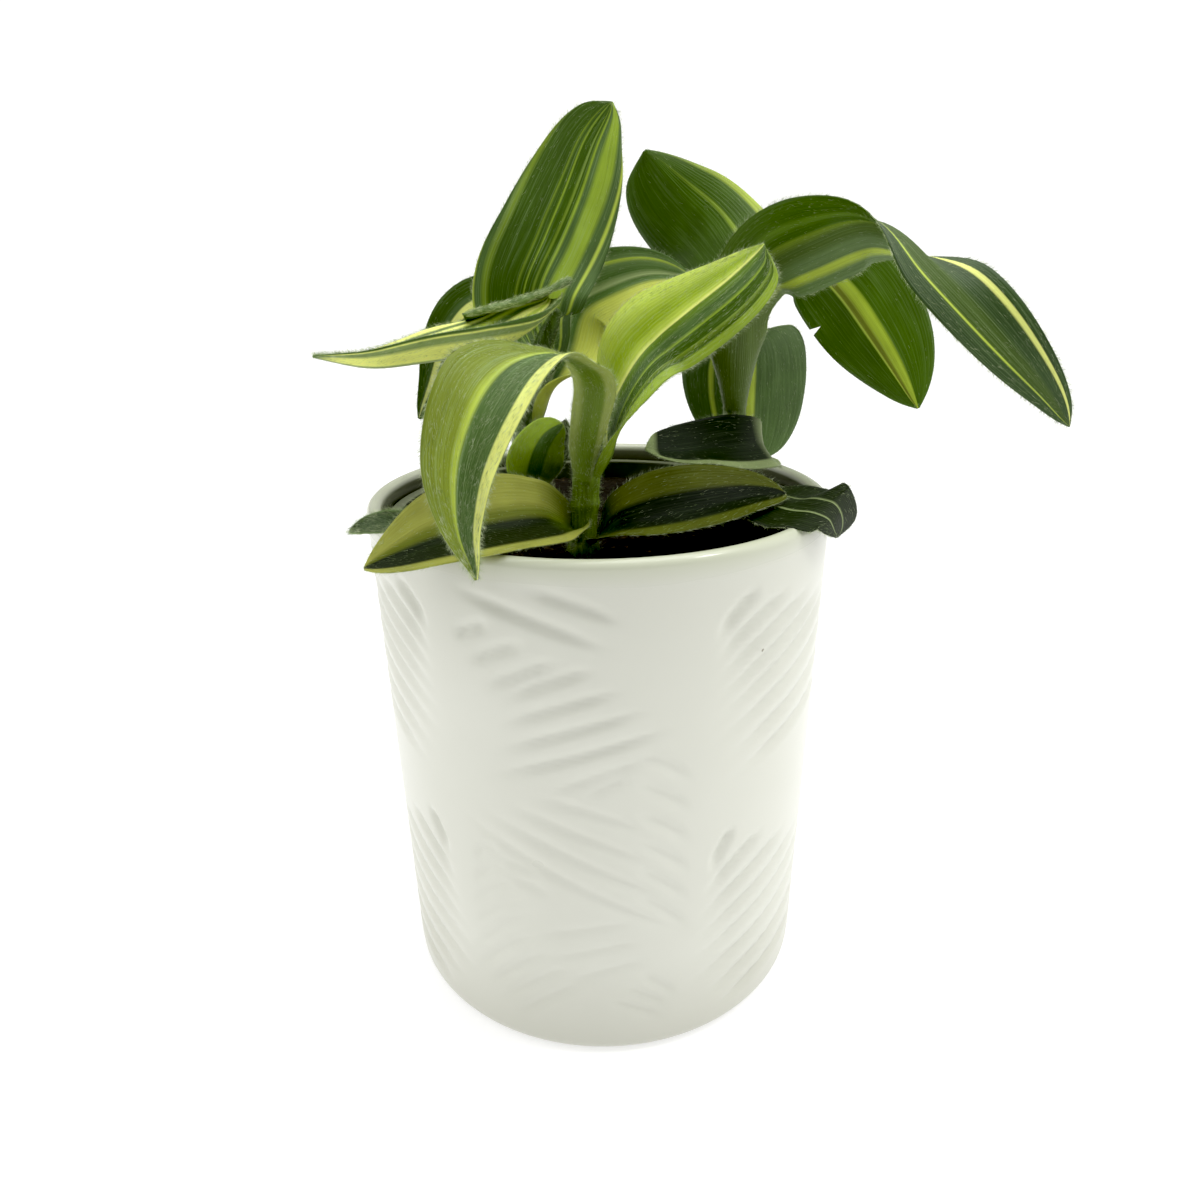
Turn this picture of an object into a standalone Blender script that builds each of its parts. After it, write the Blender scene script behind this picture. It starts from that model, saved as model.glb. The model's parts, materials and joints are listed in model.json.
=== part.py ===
"""A potted tradescantia: three shoots with striped leaves in a glazed ceramic pot.

The pot stands on z = 0 with its axis on the origin, the front is -Y, and lengths are in millimetres
until MM turns them into metres. A leaf is a thin blade. Its midrib is a smooth line from its sheath on
the stem through the points of its route, and each point of the route also says which way the upper side
faces there and by how many degrees the two halves fold up along the midrib.
"""

import bmesh
import bpy
import numpy as np

MM = 0.001

# Ceramic pot
POT_HEIGHT = 137.0
RIM_RADIUS = 60.0
FOOT_RADIUS = 57.0
WALL = 4.0
FLOOR = 5.0
FOOT_ROUND = 4.0
INNER_ROUND = 6.0
POT_STEPS = 96

# Grow pot that stands inside it
GROW_TOP = 132.4
GROW_RIM_RADIUS = 55.6
GROW_RADIUS = 53.6
GROW_FOOT_RADIUS = 45.0
GROW_WALL = 1.2
GROW_RIM_DEPTH = 4.0
GROW_STEPS = 72

# Soil inside the grow pot
SOIL_TOP = 128.0
FIT = 0.3

# Shoots and leaves
STEM_ROWS = 22
LEAF_THICKNESS = 0.8
ROW_LENGTH = 5.6
FEWEST_ROWS = 8
LEAF_COLUMNS = 7
SHEATH_OPENING = 0.14
BOTTOM = 1.4

WHITE_GLAZE = (0.80, 0.79, 0.76)
GREY_GREEN = (0.20, 0.22, 0.18)
EARTH = (0.016, 0.013, 0.011)
STEM_GREEN = (0.16, 0.24, 0.05)
DEEP_GREEN = (0.04, 0.10, 0.02)
MID_GREEN = (0.09, 0.19, 0.03)
LIME = (0.30, 0.42, 0.07)

# A stem's route starts in the soil.
STEMS = {
    "stem_front": dict(
        radius=3.1,
        route=[(-4.2, -25, 118), (-3.9, -25, 128), (-3.4, -25, 138), (-2.2, -25, 151), (0, -25, 162),
               (1.4, -25, 167)],
    ),
    "stem_left": dict(
        radius=2.7,
        route=[(-20.3, 6, 118), (-20, 6, 128), (-19, 6, 141), (-18, 6, 154.5), (-16, 6, 167), (-12.5, 6, 176),
               (-9.5, 6, 182.5)],
    ),
    "stem_right": dict(
        radius=2.9,
        route=[(39.8, 18, 118), (39.4, 18, 129), (38.5, 18, 140), (38, 18, 154), (38, 18, 167.5), (39, 18, 178),
               (39, 18, 185.5)],
    ),
}

# A pair of values is for the left and the right half, seen from the sheath with the upper side up.
LEAVES = {
    "leaf_tall_upright": dict(
        stem="stem_left", height=165, bearing=125, sheath_height=7, clearance=1.4,
        width=(14, 17), cup=18, peak=0.36, tip=0.6,
        route=[
            ((-19, 13.5, 178), (0.1, -0.9, 0.4), 0),
            ((-18, 16, 187.5), (0.1, -1, 0.3), 12),
            ((-12.5, 20, 199), (0.2, -1, 0.2), 12),
            ((-7, 24, 210.5), (0.2, -1, 0.2), 12),
            ((-1.5, 28, 222.5), (0.2, -1, 0.2), 12),
            ((5, 31, 231.5), (0.2, -1, 0.2), 12),
        ],
    ),
    "leaf_left_folded": dict(
        stem="stem_left", height=184.5, clearance=0.3,
        width=25, cup=20, peak=0.35, tip=1.0, base=4, clasp=35,
        route=[
            ((-13.5, -3, 180.5), (-0.3, -0.3, 0.9), 15),
            ((-20.5, -14, 176), (-0.2, -0.1, 1), 18),
            ((-30, -25, 174.5), (-0.1, 0, 1), 20),
            ((-38, -33, 174), (-0.1, 0.1, 1), 22),
            ((-47.5, -40, 174), (0, 0.2, 1), 24),
            ((-57, -46, 177), (0.2, 0.2, 1), 24),
        ],
    ),
    "leaf_left_hanging": dict(
        stem="stem_left", height=141, bearing=185, sheath_height=6, clearance=1.2,
        width=27, grow=2, base=4.6,
        route=[
            ((-24.5, 22, 170), (0.2, -0.8, 0.6), 5),
            ((-26, 27, 178), (0.4, -0.5, 0.7), 15),
            ((-31.5, 29, 179), (-0.4, -0.7, 0.6), 12),
            ((-38.5, 29, 171), (-0.2, -1, 0.2), 12),
            ((-44.5, 28, 160.5), (0, -1, 0.2), 12),
            ((-51, 26, 151.5), (0.1, -1, 0.1), 12),
        ],
    ),
    "leaf_front_arching": dict(
        stem="stem_front", height=145, bearing=262, sheath_height=7, clearance=1.0,
        width=(8, 11.2), cup=10, peak=(0.5, 0.62), tip=(0.75, 1.5), base=(2, 4.4), clasp=38, sheath=0.06,
        grow=(2, 20),
        route=[
            ((-1.6, -32, 160), (0.2, 0.9, 0), 0),
            ((-0.8, -33.8, 169), (0.4, 0.9, 0.3), 0),
            ((-4.5, -38, 174.3), (0.4, 0.2, 0.9), 0),
            ((-10, -43, 176), (0, -0.1, 1), 10),
            ((-16.5, -50, 174), (0.1, -0.6, 0.8), 18),
            ((-21.5, -57, 168), (0.2, -0.8, 0.5), 20),
            ((-25, -61, 160.5), (0.2, -0.9, 0.3), 20),
            ((-26.5, -63, 153.5), (0.1, -1, 0.2), 20),
            ((-27, -64, 144.5), (0.2, -1, 0.1), 20),
            ((-24.5, -65, 135.5), (0.2, -1, 0.2), 15),
        ],
    ),
    "leaf_right_boat": dict(
        stem="stem_front", height=146, bearing=2, sheath_height=5, clearance=2.5,
        width=(14, 10.6), cup=(-35, 10), peak=(0.27, 0.68), tip=(0.9, 0.25), clasp=80, base=(7, 5.8), grow=(1, 2.2),
        sheath=0.04, open=0.28,
        route=[
            ((4.4, -24, 158.5), (-0.9, -0.5, 0.1), 0),
            ((7.2, -23, 167), (-0.6, -0.7, 0.4), 0),
            ((12, -20.5, 175.5), (-0.2, -0.9, 0.3), -3),
            ((19.5, -20, 182), (-0.1, -1, 0.3), -8),
            ((30, -17, 189.5), (0, -0.9, 0.4), -8),
            ((38.5, -13, 196.5), (0.1, -0.9, 0.4), -5),
        ],
    ),
    "leaf_back_centre": dict(
        stem="stem_left", height=151, bearing=5, sheath_height=6, clearance=1.4,
        width=25, grow=2, base=4.6,
        route=[
            ((-9, 15, 170.5), (0.1, -0.8, 0.5), 5),
            ((-5, 22, 181), (-0.1, -0.9, 0.5), 8),
            ((4, 23, 186), (-0.1, -0.9, 0.4), 10),
            ((14.5, 24, 189), (0, -0.9, 0.4), 10),
            ((26, 24, 188.5), (0, -0.9, 0.4), 8),
        ],
    ),
    "leaf_back_upper": dict(
        stem="stem_right", height=184, bearing=-80, sheath_height=4, clearance=0.9,
        width=(14, 17), peak=(0.3, 0.6), tip=(0.9, 0.4),
        route=[
            ((36, 21, 193.5), (0.4, 0.8, -0.4), 3),
            ((30.5, 27, 202), (0.3, 0.9, -0.2), 12),
            ((22.5, 30, 210), (0.2, 1, 0), 12),
            ((13.5, 31, 220), (0.1, 1, 0), 12),
        ],
    ),
    "leaf_right_arching": dict(
        stem="stem_right", height=153, bearing=-70, sheath_height=9, clearance=1,
        width=(12.2, 11.2), cup=12, peak=0.3, tip=0.7, sheath=0.09, open=0.07, clasp=95, base=6.5, grow=(1, 1),
        neck=(0.18, 0.035, 0.5, 0.1),
        route=[
            ((39.5, 9, 186.5), (-0.3, 0.9, 0.3), 0),
            ((44.5, 6, 193.5), (0.3, 0.9, 0.3), 0),
            ((52.5, 2, 197.5), (0.3, 0.9, 0.4), -10),
            ((60, -2, 201), (0.2, 0.8, 0.6), -25),
            ((66, -5, 201.5), (0.4, 0.4, 0.8), -30),
            ((72, -8, 198), (0.6, -0.1, 0.8), -30),
            ((77.5, -11, 192.5), (0.4, -0.6, 0.7), -20),
            ((84.5, -14, 185.5), (0.2, -0.9, 0.4), -5),
            ((97.5, -15, 173), (0, -1, 0), 5),
            ((108.5, -14, 162.5), (-0.1, -1, -0.3), 8),
            ((116, -12, 154), (-0.1, -0.9, -0.3), 8),
        ],
    ),
    "leaf_right_hanging": dict(
        stem="stem_right", height=172, clearance=0.9,
        width=32, cup=15, peak=0.6, tip=0.8, base=3, clasp=35, grow=1.5,
        route=[
            ((48.5, 27, 182.5), (-0.8, 0.5, 0.3), 5),
            ((53.5, 31, 189.5), (-0.6, 0.7, 0.4), 12),
            ((62.5, 34, 191), (-0.1, 0.9, 0.4), 12),
            ((72, 36, 184.5), (0.1, 1, 0.1), 12),
            ((81.5, 35, 172.5), (0.2, 1, 0), 12),
            ((88.5, 33, 161.5), (0.3, 1, 0), 12),
            ((93.5, 31, 151.5), (0.3, 1, -0.1), 12),
        ],
    ),
    "leaf_behind_right_stem": dict(
        stem="stem_right", height=169.5, clearance=0.9,
        width=(21, 17.6), cup=12, peak=(0.5, 0.62), base=3, clasp=35, grow=(1.5, 1.1), tip=(0.7, 0.38),
        route=[
            ((41, 27, 173.5), (0, -0.2, 1), 0),
            ((44, 36, 172), (-0.1, 0.3, 1), 0),
            ((46.5, 43, 164), (0, 0.9, 0.5), 5),
            ((47, 46, 153), (0, 1, 0.1), 8),
            ((47.5, 48, 143), (0, 1, 0.1), 8),
            ((48.5, 50.5, 131), (0, 1, 0.1), 8),
        ],
    ),
    "leaf_low_back_right": dict(
        stem="stem_right", height=138, bearing=-60, clearance=0.9,
        width=(10, 8.5), clasp=20, base=3, peak=(0.55, 0.6), tip=(0.5, 0.4), grow=(1.3, 1.5),
        route=[
            ((43.5, 11, 142), (0.3, -0.3, 1), 4),
            ((44, 5.5, 147), (0.5, -0.6, 0.6), 6),
            ((38, 0.5, 148), (0.2, -0.7, 0.7), 8),
            ((27.5, -3, 147.5), (0, -0.5, 0.8), 10),
            ((19.5, -6, 147.5), (0.1, -0.5, 0.9), 12),
            ((12, -8, 149), (0.2, -0.5, 0.9), 12),
        ],
    ),
    "leaf_low_front_right": dict(
        stem="stem_front", height=130.5, clearance=0.9,
        width=(12, 9.6), tip=0.6, base=3.5, clasp=40,
        route=[
            ((4.5, -29, 135), (-0.4, -0.4, 0.8), 12),
            ((14.5, -28, 137), (-0.1, -0.5, 0.9), 12),
            ((25.5, -26, 138.5), (0, -0.5, 0.9), 12),
            ((36.5, -22, 139.5), (0.1, -0.4, 0.9), 12),
            ((46, -18, 139.5), (0.2, -0.4, 0.9), 12),
        ],
    ),
    "leaf_low_right_over_rim": dict(
        stem="stem_right", height=131, clearance=0.9,
        width=(14.5, 14), peak=(0.74, 0.68), tip=(0.33, 0.5), base=3, clasp=30, cup=5, grow=(1.3, 3),
        route=[
            ((42.5, 7, 132.8), (-0.2, -0.1, 1), 0),
            ((43, -5, 135), (-0.2, -0.2, 0.9), 0),
            ((44, -14, 136.8), (-0.1, -0.1, 1), 0),
            ((46, -21, 137.9), (0, -0.15, 1), 0),
            ((49, -26, 138.8), (-0.06, -0.25, 1), -2),
            ((52.3, -29.6, 139.1), (0.4, -0.5, 0.8), -3),
            ((54.8, -31, 137.5), (0.7, -0.6, 0.5), -2),
            ((55.6, -32, 132.6), (0.8, -0.6, 0.2), 0),
        ],
    ),
    "leaf_low_left_over_rim": dict(
        stem="stem_front", height=133, bearing=215, clearance=1.3,
        width=(12.8, 14), base=(7, 8), clasp=80, sheath=0.03, open=0.14,
        route=[
            ((-11.5, -32.5, 137), (0.4, -0.3, 0.9), 12),
            ((-22.5, -41.5, 138.5), (0.3, -0.3, 0.9), 12),
            ((-33.5, -50.5, 138.6), (0.2, -0.4, 0.9), 12),
            ((-41.5, -53.5, 136.8), (-0.1, -0.5, 0.8), 12),
            ((-49.5, -54, 134.3), (-0.3, -0.5, 0.8), 12),
        ],
    ),
    "leaf_low_far_left": dict(
        stem="stem_left", height=130.5, clearance=0.9,
        width=13.5, peak=0.6, base=3, clasp=30, tip=0.5,
        route=[
            ((-30, -13.5, 132.5), (0.3, 0, 0.9), 5),
            ((-39, -31, 136.3), (0.3, 0, 0.9), 5),
            ((-47.5, -38.5, 138.8), (0, -0.2, 1), 5),
            ((-56.5, -36.5, 137.6), (-0.4, -0.3, 0.9), 12),
        ],
    ),
    "leaf_young_centre": dict(
        stem="stem_left", height=136, bearing=-80, clearance=0.9,
        width=14, base=3, clasp=10, tip=0.6,
        route=[
            ((-16, -4, 146), (0.1, 0.9, 0.4), 0),
            ((-12.8, -6, 152), (0.2, 1, 0.2), 12),
            ((-8.7, -7, 155.5), (0.2, 1, 0), 12),
        ],
    ),
    "leaf_young_hairy": dict(
        stem="stem_left", height=134, clearance=0.9,
        width=8, base=2, clasp=20,
        route=[
            ((-10, 10, 148), (0, -1, 0.2), 12),
            ((-8.5, 12, 153), (0.1, -0.9, 0.3), 12),
        ],
    ),
}

LEAF_COLOURS = {
    "leaf_left_folded": LIME,
    "leaf_front_arching": LIME,
    "leaf_right_boat": LIME,
    "leaf_tall_upright": MID_GREEN,
    "leaf_right_hanging": MID_GREEN,
    "leaf_back_upper": MID_GREEN,
}


def new_collection(name):
    collection = bpy.data.collections.new(name)
    bpy.context.scene.collection.children.link(collection)
    return collection


def move_to(obj, collection):
    for other in list(obj.users_collection):
        other.objects.unlink(obj)
    collection.objects.link(obj)


def set_material(obj, colour, roughness, coat=0.0):
    material = bpy.data.materials.new(obj.name + "_material")
    material.use_nodes = True
    shader = material.node_tree.nodes["Principled BSDF"]
    shader.inputs["Base Color"].default_value = (*colour, 1.0)
    shader.inputs["Roughness"].default_value = roughness
    shader.inputs["Metallic"].default_value = 0.0
    shader.inputs["Coat Weight"].default_value = coat
    obj.data.materials.clear()
    obj.data.materials.append(material)


def unit(vectors):
    vectors = np.asarray(vectors, float)
    return vectors / np.linalg.norm(vectors, axis=-1, keepdims=True)


def pair(value):
    return value if isinstance(value, tuple) else (value, value)


def smooth_line(points, steps=24):
    """A Catmull-Rom line through the points; they may have any number of columns."""
    p = np.array(points, float)
    knots = np.concatenate([[2 * p[0] - p[1]], p, [2 * p[-1] - p[-2]]])
    t = np.linspace(0, 1, steps, endpoint=False)[:, None]
    runs = []
    for a, b, c, d in zip(knots, knots[1:], knots[2:], knots[3:]):
        cubic = 3 * b - a - 3 * c + d
        square = 2 * a - 5 * b + 4 * c - d
        runs.append(0.5 * (2 * b + (c - a) * t + square * t**2 + cubic * t**3))
    return np.concatenate(runs + [p[-1:]])


def distance_along(line):
    return np.concatenate([[0], np.cumsum(np.linalg.norm(np.diff(line, axis=0), axis=1))])


def resample(columns, run, count):
    even = np.linspace(0, run[-1], count)
    return np.stack([np.interp(even, run, column) for column in columns.T], axis=1)


# Pots and soil


def arc(centre_r, centre_z, radius, start, end, count=5):
    """Points of a profile's rounding, from one angle to another in degrees."""
    angles = np.radians(np.linspace(start, end, count))
    return [(centre_r + radius * np.cos(a), centre_z + radius * np.sin(a)) for a in angles]


def turned(name, profile, steps, collection, colour, roughness, coat=0.0):
    """A solid of revolution about Z; the profile runs down its outer side."""
    mesh = bpy.data.meshes.new(name)
    mesh.from_pydata([(r * MM, 0, z * MM) for r, z in profile], [(i, i + 1) for i in range(len(profile) - 1)], [])
    obj = bpy.data.objects.new(name, mesh)
    collection.objects.link(obj)
    screw = obj.modifiers.new("Turn", "SCREW")
    screw.axis = "Z"
    screw.steps = steps
    screw.render_steps = steps
    screw.use_merge_vertices = True
    screw.merge_threshold = 0.00001
    screw.use_smooth_shade = True
    set_material(obj, colour, roughness, coat)
    return obj


def build_ceramic_pot(collection):
    lip = WALL / 2
    slope = (RIM_RADIUS - FOOT_RADIUS) / POT_HEIGHT
    inner_rim = RIM_RADIUS - WALL
    inner_foot = inner_rim - slope * (POT_HEIGHT - FLOOR)
    profile = arc(RIM_RADIUS - lip, POT_HEIGHT - lip, lip, 180, 0, 9)
    profile += [(RIM_RADIUS - slope * drop, POT_HEIGHT - drop) for drop in (35, 70, 105)]
    profile += arc(FOOT_RADIUS - FOOT_ROUND, FOOT_ROUND, FOOT_ROUND, 0, -90)
    profile += [(FOOT_RADIUS / 2, 0), (0, 0)]
    inside = [(0, FLOOR), (inner_foot / 2, FLOOR)]
    inside += arc(inner_foot - INNER_ROUND, FLOOR + INNER_ROUND, INNER_ROUND, -90, 0)
    inside += [(inner_foot + slope * rise, FLOOR + rise) for rise in (40, 80)]
    return turned("ceramic_pot", profile[1:] + inside + profile[:2], POT_STEPS, collection, WHITE_GLAZE, 0.2, 0.6)


def build_grow_pot(collection):
    foot = FLOOR + FIT
    skirt = GROW_TOP - GROW_RIM_DEPTH
    top = [(GROW_RADIUS - GROW_WALL, GROW_TOP), (GROW_RIM_RADIUS - 0.4, GROW_TOP), (GROW_RIM_RADIUS, GROW_TOP - 0.5)]
    outside = [(GROW_RIM_RADIUS, skirt), (GROW_RADIUS, skirt - 1), (GROW_FOOT_RADIUS + 1, foot + 4)]
    outside += [(GROW_FOOT_RADIUS, foot + 1), (GROW_FOOT_RADIUS - 1, foot), (0, foot)]
    inner_foot = GROW_FOOT_RADIUS + 1 - GROW_WALL
    inside = [(0, foot + BOTTOM), (inner_foot - 1, foot + BOTTOM), (inner_foot, foot + 4)]
    inside += [(GROW_RADIUS - GROW_WALL, skirt - 1), top[0]]
    return turned("grow_pot", top + outside + inside, GROW_STEPS, collection, GREY_GREEN, 0.5)


def build_soil(collection):
    foot = FLOOR + FIT + BOTTOM + FIT
    edge_foot = GROW_FOOT_RADIUS + 1 - GROW_WALL - FIT
    edge_top = GROW_RADIUS - GROW_WALL - FIT
    slope = (edge_top - edge_foot) / (GROW_TOP - GROW_RIM_DEPTH - 1 - FLOOR - FIT - 4)
    brim = edge_foot + slope * (SOIL_TOP - 1 - FLOOR - FIT - 4)
    profile = [(0, SOIL_TOP + 0.4), (18, SOIL_TOP + 0.2), (38, SOIL_TOP), (brim - 3, SOIL_TOP)]
    profile += [(brim, SOIL_TOP - 1), (edge_foot, FLOOR + FIT + 4), (edge_foot - 1.5, foot), (0, foot)]
    return turned("soil", profile, GROW_STEPS, collection, EARTH, 0.95)


# Stems


def tube(name, route, radius, rows, collection, resolution=2):
    line = smooth_line(route)
    points = resample(line, distance_along(line), rows)
    curve = bpy.data.curves.new(name, "CURVE")
    curve.dimensions = "3D"
    curve.bevel_depth = radius * MM
    curve.bevel_resolution = resolution
    curve.use_fill_caps = True
    spline = curve.splines.new("POLY")
    spline.points.add(rows - 1)
    for point, place in zip(spline.points, points * MM):
        point.co = (*place, 1.0)
    spline.use_smooth = True
    obj = bpy.data.objects.new(name, curve)
    collection.objects.link(obj)
    return obj


def build_stem(name, collection):
    stem = STEMS[name]
    obj = tube(name, stem["route"], stem["radius"], STEM_ROWS, collection)
    set_material(obj, STEM_GREEN, 0.5)
    return obj


def as_mesh(obj):
    """The same object as a mesh with its caps welded, which a Boolean can use."""
    bpy.context.view_layer.update()
    graph = bpy.context.evaluated_depsgraph_get()
    mesh = bpy.data.meshes.new_from_object(obj.evaluated_get(graph))
    name, place, collection = obj.name, obj.matrix_world.copy(), obj.users_collection[0]
    bpy.data.objects.remove(obj)
    work = bmesh.new()
    work.from_mesh(mesh)
    bmesh.ops.remove_doubles(work, verts=work.verts, dist=0.00001)
    bmesh.ops.recalc_face_normals(work, faces=work.faces)
    work.to_mesh(mesh)
    work.free()
    new = bpy.data.objects.new(name, mesh)
    new.matrix_world = place
    collection.objects.link(new)
    return new


def cut_stem_hole(name, soil, cutters):
    """The hole in the soil that the stem comes out of, wider than the stem by the fit all round."""
    stem = STEMS[name]
    route = [stem["route"][0], stem["route"][1], stem["route"][2]]
    x, y, z = route[0]
    route[0] = (x, y, z - FIT)
    cutter = as_mesh(tube("hole_" + name, route, stem["radius"] + FIT, 8, cutters))
    cutter.hide_render = True
    cutter.display_type = "WIRE"
    cut = soil.modifiers.new("Hole for " + name, "BOOLEAN")
    cut.object = cutter
    cut.operation = "DIFFERENCE"
    cut.solver = "EXACT"


# Leaves


def stem_axis(name, height):
    line = smooth_line(STEMS[name]["route"])
    return np.array([np.interp(height, line[:, 2], line[:, 0]), np.interp(height, line[:, 2], line[:, 1]), height])


def beside_stem(leaf, height, bearing):
    """A point beside the stem on that bearing, and the direction out of the stem."""
    turn = np.radians(bearing)
    out = np.array([np.cos(turn), np.sin(turn), 0.0])
    return stem_axis(leaf["stem"], height) + out * (STEMS[leaf["stem"]]["radius"] + leaf["clearance"]), out


def sheath_points(leaf):
    """Rows of x, y, z, upper side's direction and fold, where the blade meets its stem."""
    first = np.array(leaf["route"][0][0], float)
    height = leaf["height"]
    if "sheath_height" in leaf:
        rows = []
        for level in (height, height + leaf["sheath_height"]):
            place, out = beside_stem(leaf, level, leaf["bearing"])
            rows.append([*place, *-out, 0])
        return rows
    way = first - stem_axis(leaf["stem"], height)
    bearing = leaf.get("bearing", np.degrees(np.arctan2(way[1], way[0])))
    place, out = beside_stem(leaf, height, bearing)
    across = np.array([-out[1], out[0], 0.0])
    upper = np.cross(across, unit(first - place))
    if upper @ (np.array([0, -0.3, 1]) - 0.3 * out) < 0:
        upper = -upper
    return [[*place, *upper, 0]]


def half_widths(s, leaf, side):
    """Half-width of one side along the blade: it widens to its peak, then narrows to the tip."""
    width = leaf["width"]
    full = width[side] if isinstance(width, tuple) else width / 2
    base = pair(leaf.get("base", 5.6))[side]
    peak = pair(leaf.get("peak", 0.4))[side]
    tip = pair(leaf.get("tip", 0.8))[side]
    grow = pair(leaf.get("grow", 1))[side]
    neck_at, neck_length, *narrower = leaf.get("neck", (0, 1, 0, 0))
    rise = np.sin(np.clip(s / peak, 0, 1) * np.pi / 2) ** grow
    fall = np.clip((s - peak) / (1 - peak), 0, 1)
    half = np.where(s < peak, base + (full - base) * rise, full * (1 - fall**2) ** tip)
    return half * (1 - narrower[side] * np.exp(-(((s - neck_at) / neck_length) ** 2))) + 0.35


def blade_points(leaf, rows, columns):
    """Points of the blade's middle surface, as rows from the sheath to the tip and columns across."""
    table = np.array(sheath_points(leaf) + [[*p, *n, f] for p, n, f in leaf["route"]], float)
    line = smooth_line(table)
    run = distance_along(line[:, :3])
    rows = rows or max(FEWEST_ROWS, round(run[-1] / ROW_LENGTH))
    line = resample(line, run, rows)
    place, fold = line[:, :3], np.radians(line[:, 6])
    ahead = unit(np.gradient(place, axis=0))
    upper = line[:, 3:6]
    upper = unit(upper - (upper * ahead).sum(1, keepdims=True) * ahead)
    right = np.cross(ahead, upper)
    s = np.linspace(0, 1, rows)
    sheath = leaf.get("sheath", 0.08)
    opening = leaf.get("open", SHEATH_OPENING)
    clasp = leaf.get("clasp", 75)
    points = np.zeros((rows, columns, 3))
    for column, across in enumerate(np.linspace(-1, 1, columns)):
        side = 0 if across < 0 else 1
        cup = pair(leaf.get("cup", 20))[side]
        bend = np.radians(np.interp(s, [0, sheath, sheath + opening], [clasp, clasp, cup]))
        out = np.linspace(0, abs(across), 13)
        angle = fold[:, None] + bend[:, None] * out
        half = half_widths(s, leaf, side)
        flat = np.trapz(np.cos(angle), out, axis=1) * half * np.sign(across)
        lift = np.trapz(np.sin(angle), out, axis=1) * half
        points[:, column] = place + right * flat[:, None] + upper * lift[:, None]
    return points


def build_leaf(name, collection):
    """A flat grid bent into the blade, then given its thickness."""
    points = blade_points(LEAVES[name], None, LEAF_COLUMNS)
    rows, columns = points.shape[:2]
    bpy.ops.mesh.primitive_grid_add(x_subdivisions=columns - 1, y_subdivisions=rows - 1, size=1)
    obj = bpy.context.object
    obj.name = name
    obj.data.name = name
    for vertex in obj.data.vertices:
        column = round((vertex.co.x + 0.5) * (columns - 1))
        row = round((vertex.co.y + 0.5) * (rows - 1))
        vertex.co = points[row, column] * MM
    obj.data.shade_smooth()
    solid = obj.modifiers.new("Thickness", "SOLIDIFY")
    solid.thickness = LEAF_THICKNESS * MM
    solid.offset = 0
    move_to(obj, collection)
    set_material(obj, LEAF_COLOURS.get(name, DEEP_GREEN), 0.45)
    return obj


def main():
    for obj in list(bpy.data.objects):
        bpy.data.objects.remove(obj)
    parts = new_collection("potted_tradescantia")
    cutters = new_collection("cutters")
    build_ceramic_pot(parts)
    build_grow_pot(parts)
    soil = build_soil(parts)
    for name in STEMS:
        cut_stem_hole(name, soil, cutters)
        build_stem(name, parts)
    for name in LEAVES:
        build_leaf(name, parts)


main()
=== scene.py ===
"""A potted tradescantia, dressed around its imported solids: glazed pot with a frond relief, moist soil, three
hairy shoots and seventeen striped leaves. Lengths are in millimetres until MM turns them into metres."""

import json

import bmesh
import bpy
import numpy as np
from mathutils import Matrix, Vector, noise


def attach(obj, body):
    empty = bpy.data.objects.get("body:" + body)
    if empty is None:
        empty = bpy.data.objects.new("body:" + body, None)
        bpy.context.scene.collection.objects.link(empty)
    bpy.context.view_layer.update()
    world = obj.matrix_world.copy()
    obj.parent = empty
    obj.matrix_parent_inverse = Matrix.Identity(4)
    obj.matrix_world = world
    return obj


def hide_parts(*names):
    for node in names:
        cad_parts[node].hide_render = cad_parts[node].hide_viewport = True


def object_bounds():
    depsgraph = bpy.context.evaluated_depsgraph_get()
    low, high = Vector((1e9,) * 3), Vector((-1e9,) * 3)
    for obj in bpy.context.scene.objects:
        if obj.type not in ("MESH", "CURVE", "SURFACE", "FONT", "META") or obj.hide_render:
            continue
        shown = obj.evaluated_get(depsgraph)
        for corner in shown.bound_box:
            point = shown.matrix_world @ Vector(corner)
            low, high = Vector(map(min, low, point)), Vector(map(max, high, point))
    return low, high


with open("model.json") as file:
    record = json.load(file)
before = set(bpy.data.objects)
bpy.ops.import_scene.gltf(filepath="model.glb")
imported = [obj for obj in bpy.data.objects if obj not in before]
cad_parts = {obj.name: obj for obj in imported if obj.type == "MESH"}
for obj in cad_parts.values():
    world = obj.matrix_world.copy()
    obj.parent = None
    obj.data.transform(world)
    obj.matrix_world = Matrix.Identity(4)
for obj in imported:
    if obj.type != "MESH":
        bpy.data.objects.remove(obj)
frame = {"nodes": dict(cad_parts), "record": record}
cad_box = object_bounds()

MM = 0.001
CAD_SLOTS = {row["node"]: row["material_slot"] for row in frame["record"]["subparts"]}
CAD_LOW, CAD_HIGH = (np.array(corner) / MM for corner in cad_box)

# Ceramic pot and the nursery pot's rim inside it
POT_HEIGHT = 137.0
RIM_RADIUS = 60.0
FOOT_RADIUS = 57.0
WALL_SLOPE = (RIM_RADIUS - FOOT_RADIUS) / POT_HEIGHT
WALL = 4.0
FLOOR = 5.0
FOOT_ROUND = 4.0
INNER_ROUND = 6.0
GROW_TOP = 132.4
POT_STEPS = 480
RELIEF_ROWS = 168
RELIEF_DEPTH = 1.15
STROKE_WIDTH = 4.8
STROKE_SLIMNESS = 0.38
STROKE_POINTS = 9
STROKE_OVERRUN = 0.12

# Soil: the crumbs are lumps and finer bits, each with how many there are to a millimetre and how high they are.
SOIL_TOP = 128.0
SOIL_RADIUS = 51.6
SOIL_FOOT_RADIUS = 44.3
SOIL_FOOT = 7.0
SOIL_WAIST = 0.93
SOIL_WAIST_DEPTH = 60
SOIL_DIP = 0.6
SOIL_CELLS = 160
SOIL_LUMPS = (0.11, 0.9)
SOIL_BITS = (0.5, 1.1)

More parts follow.
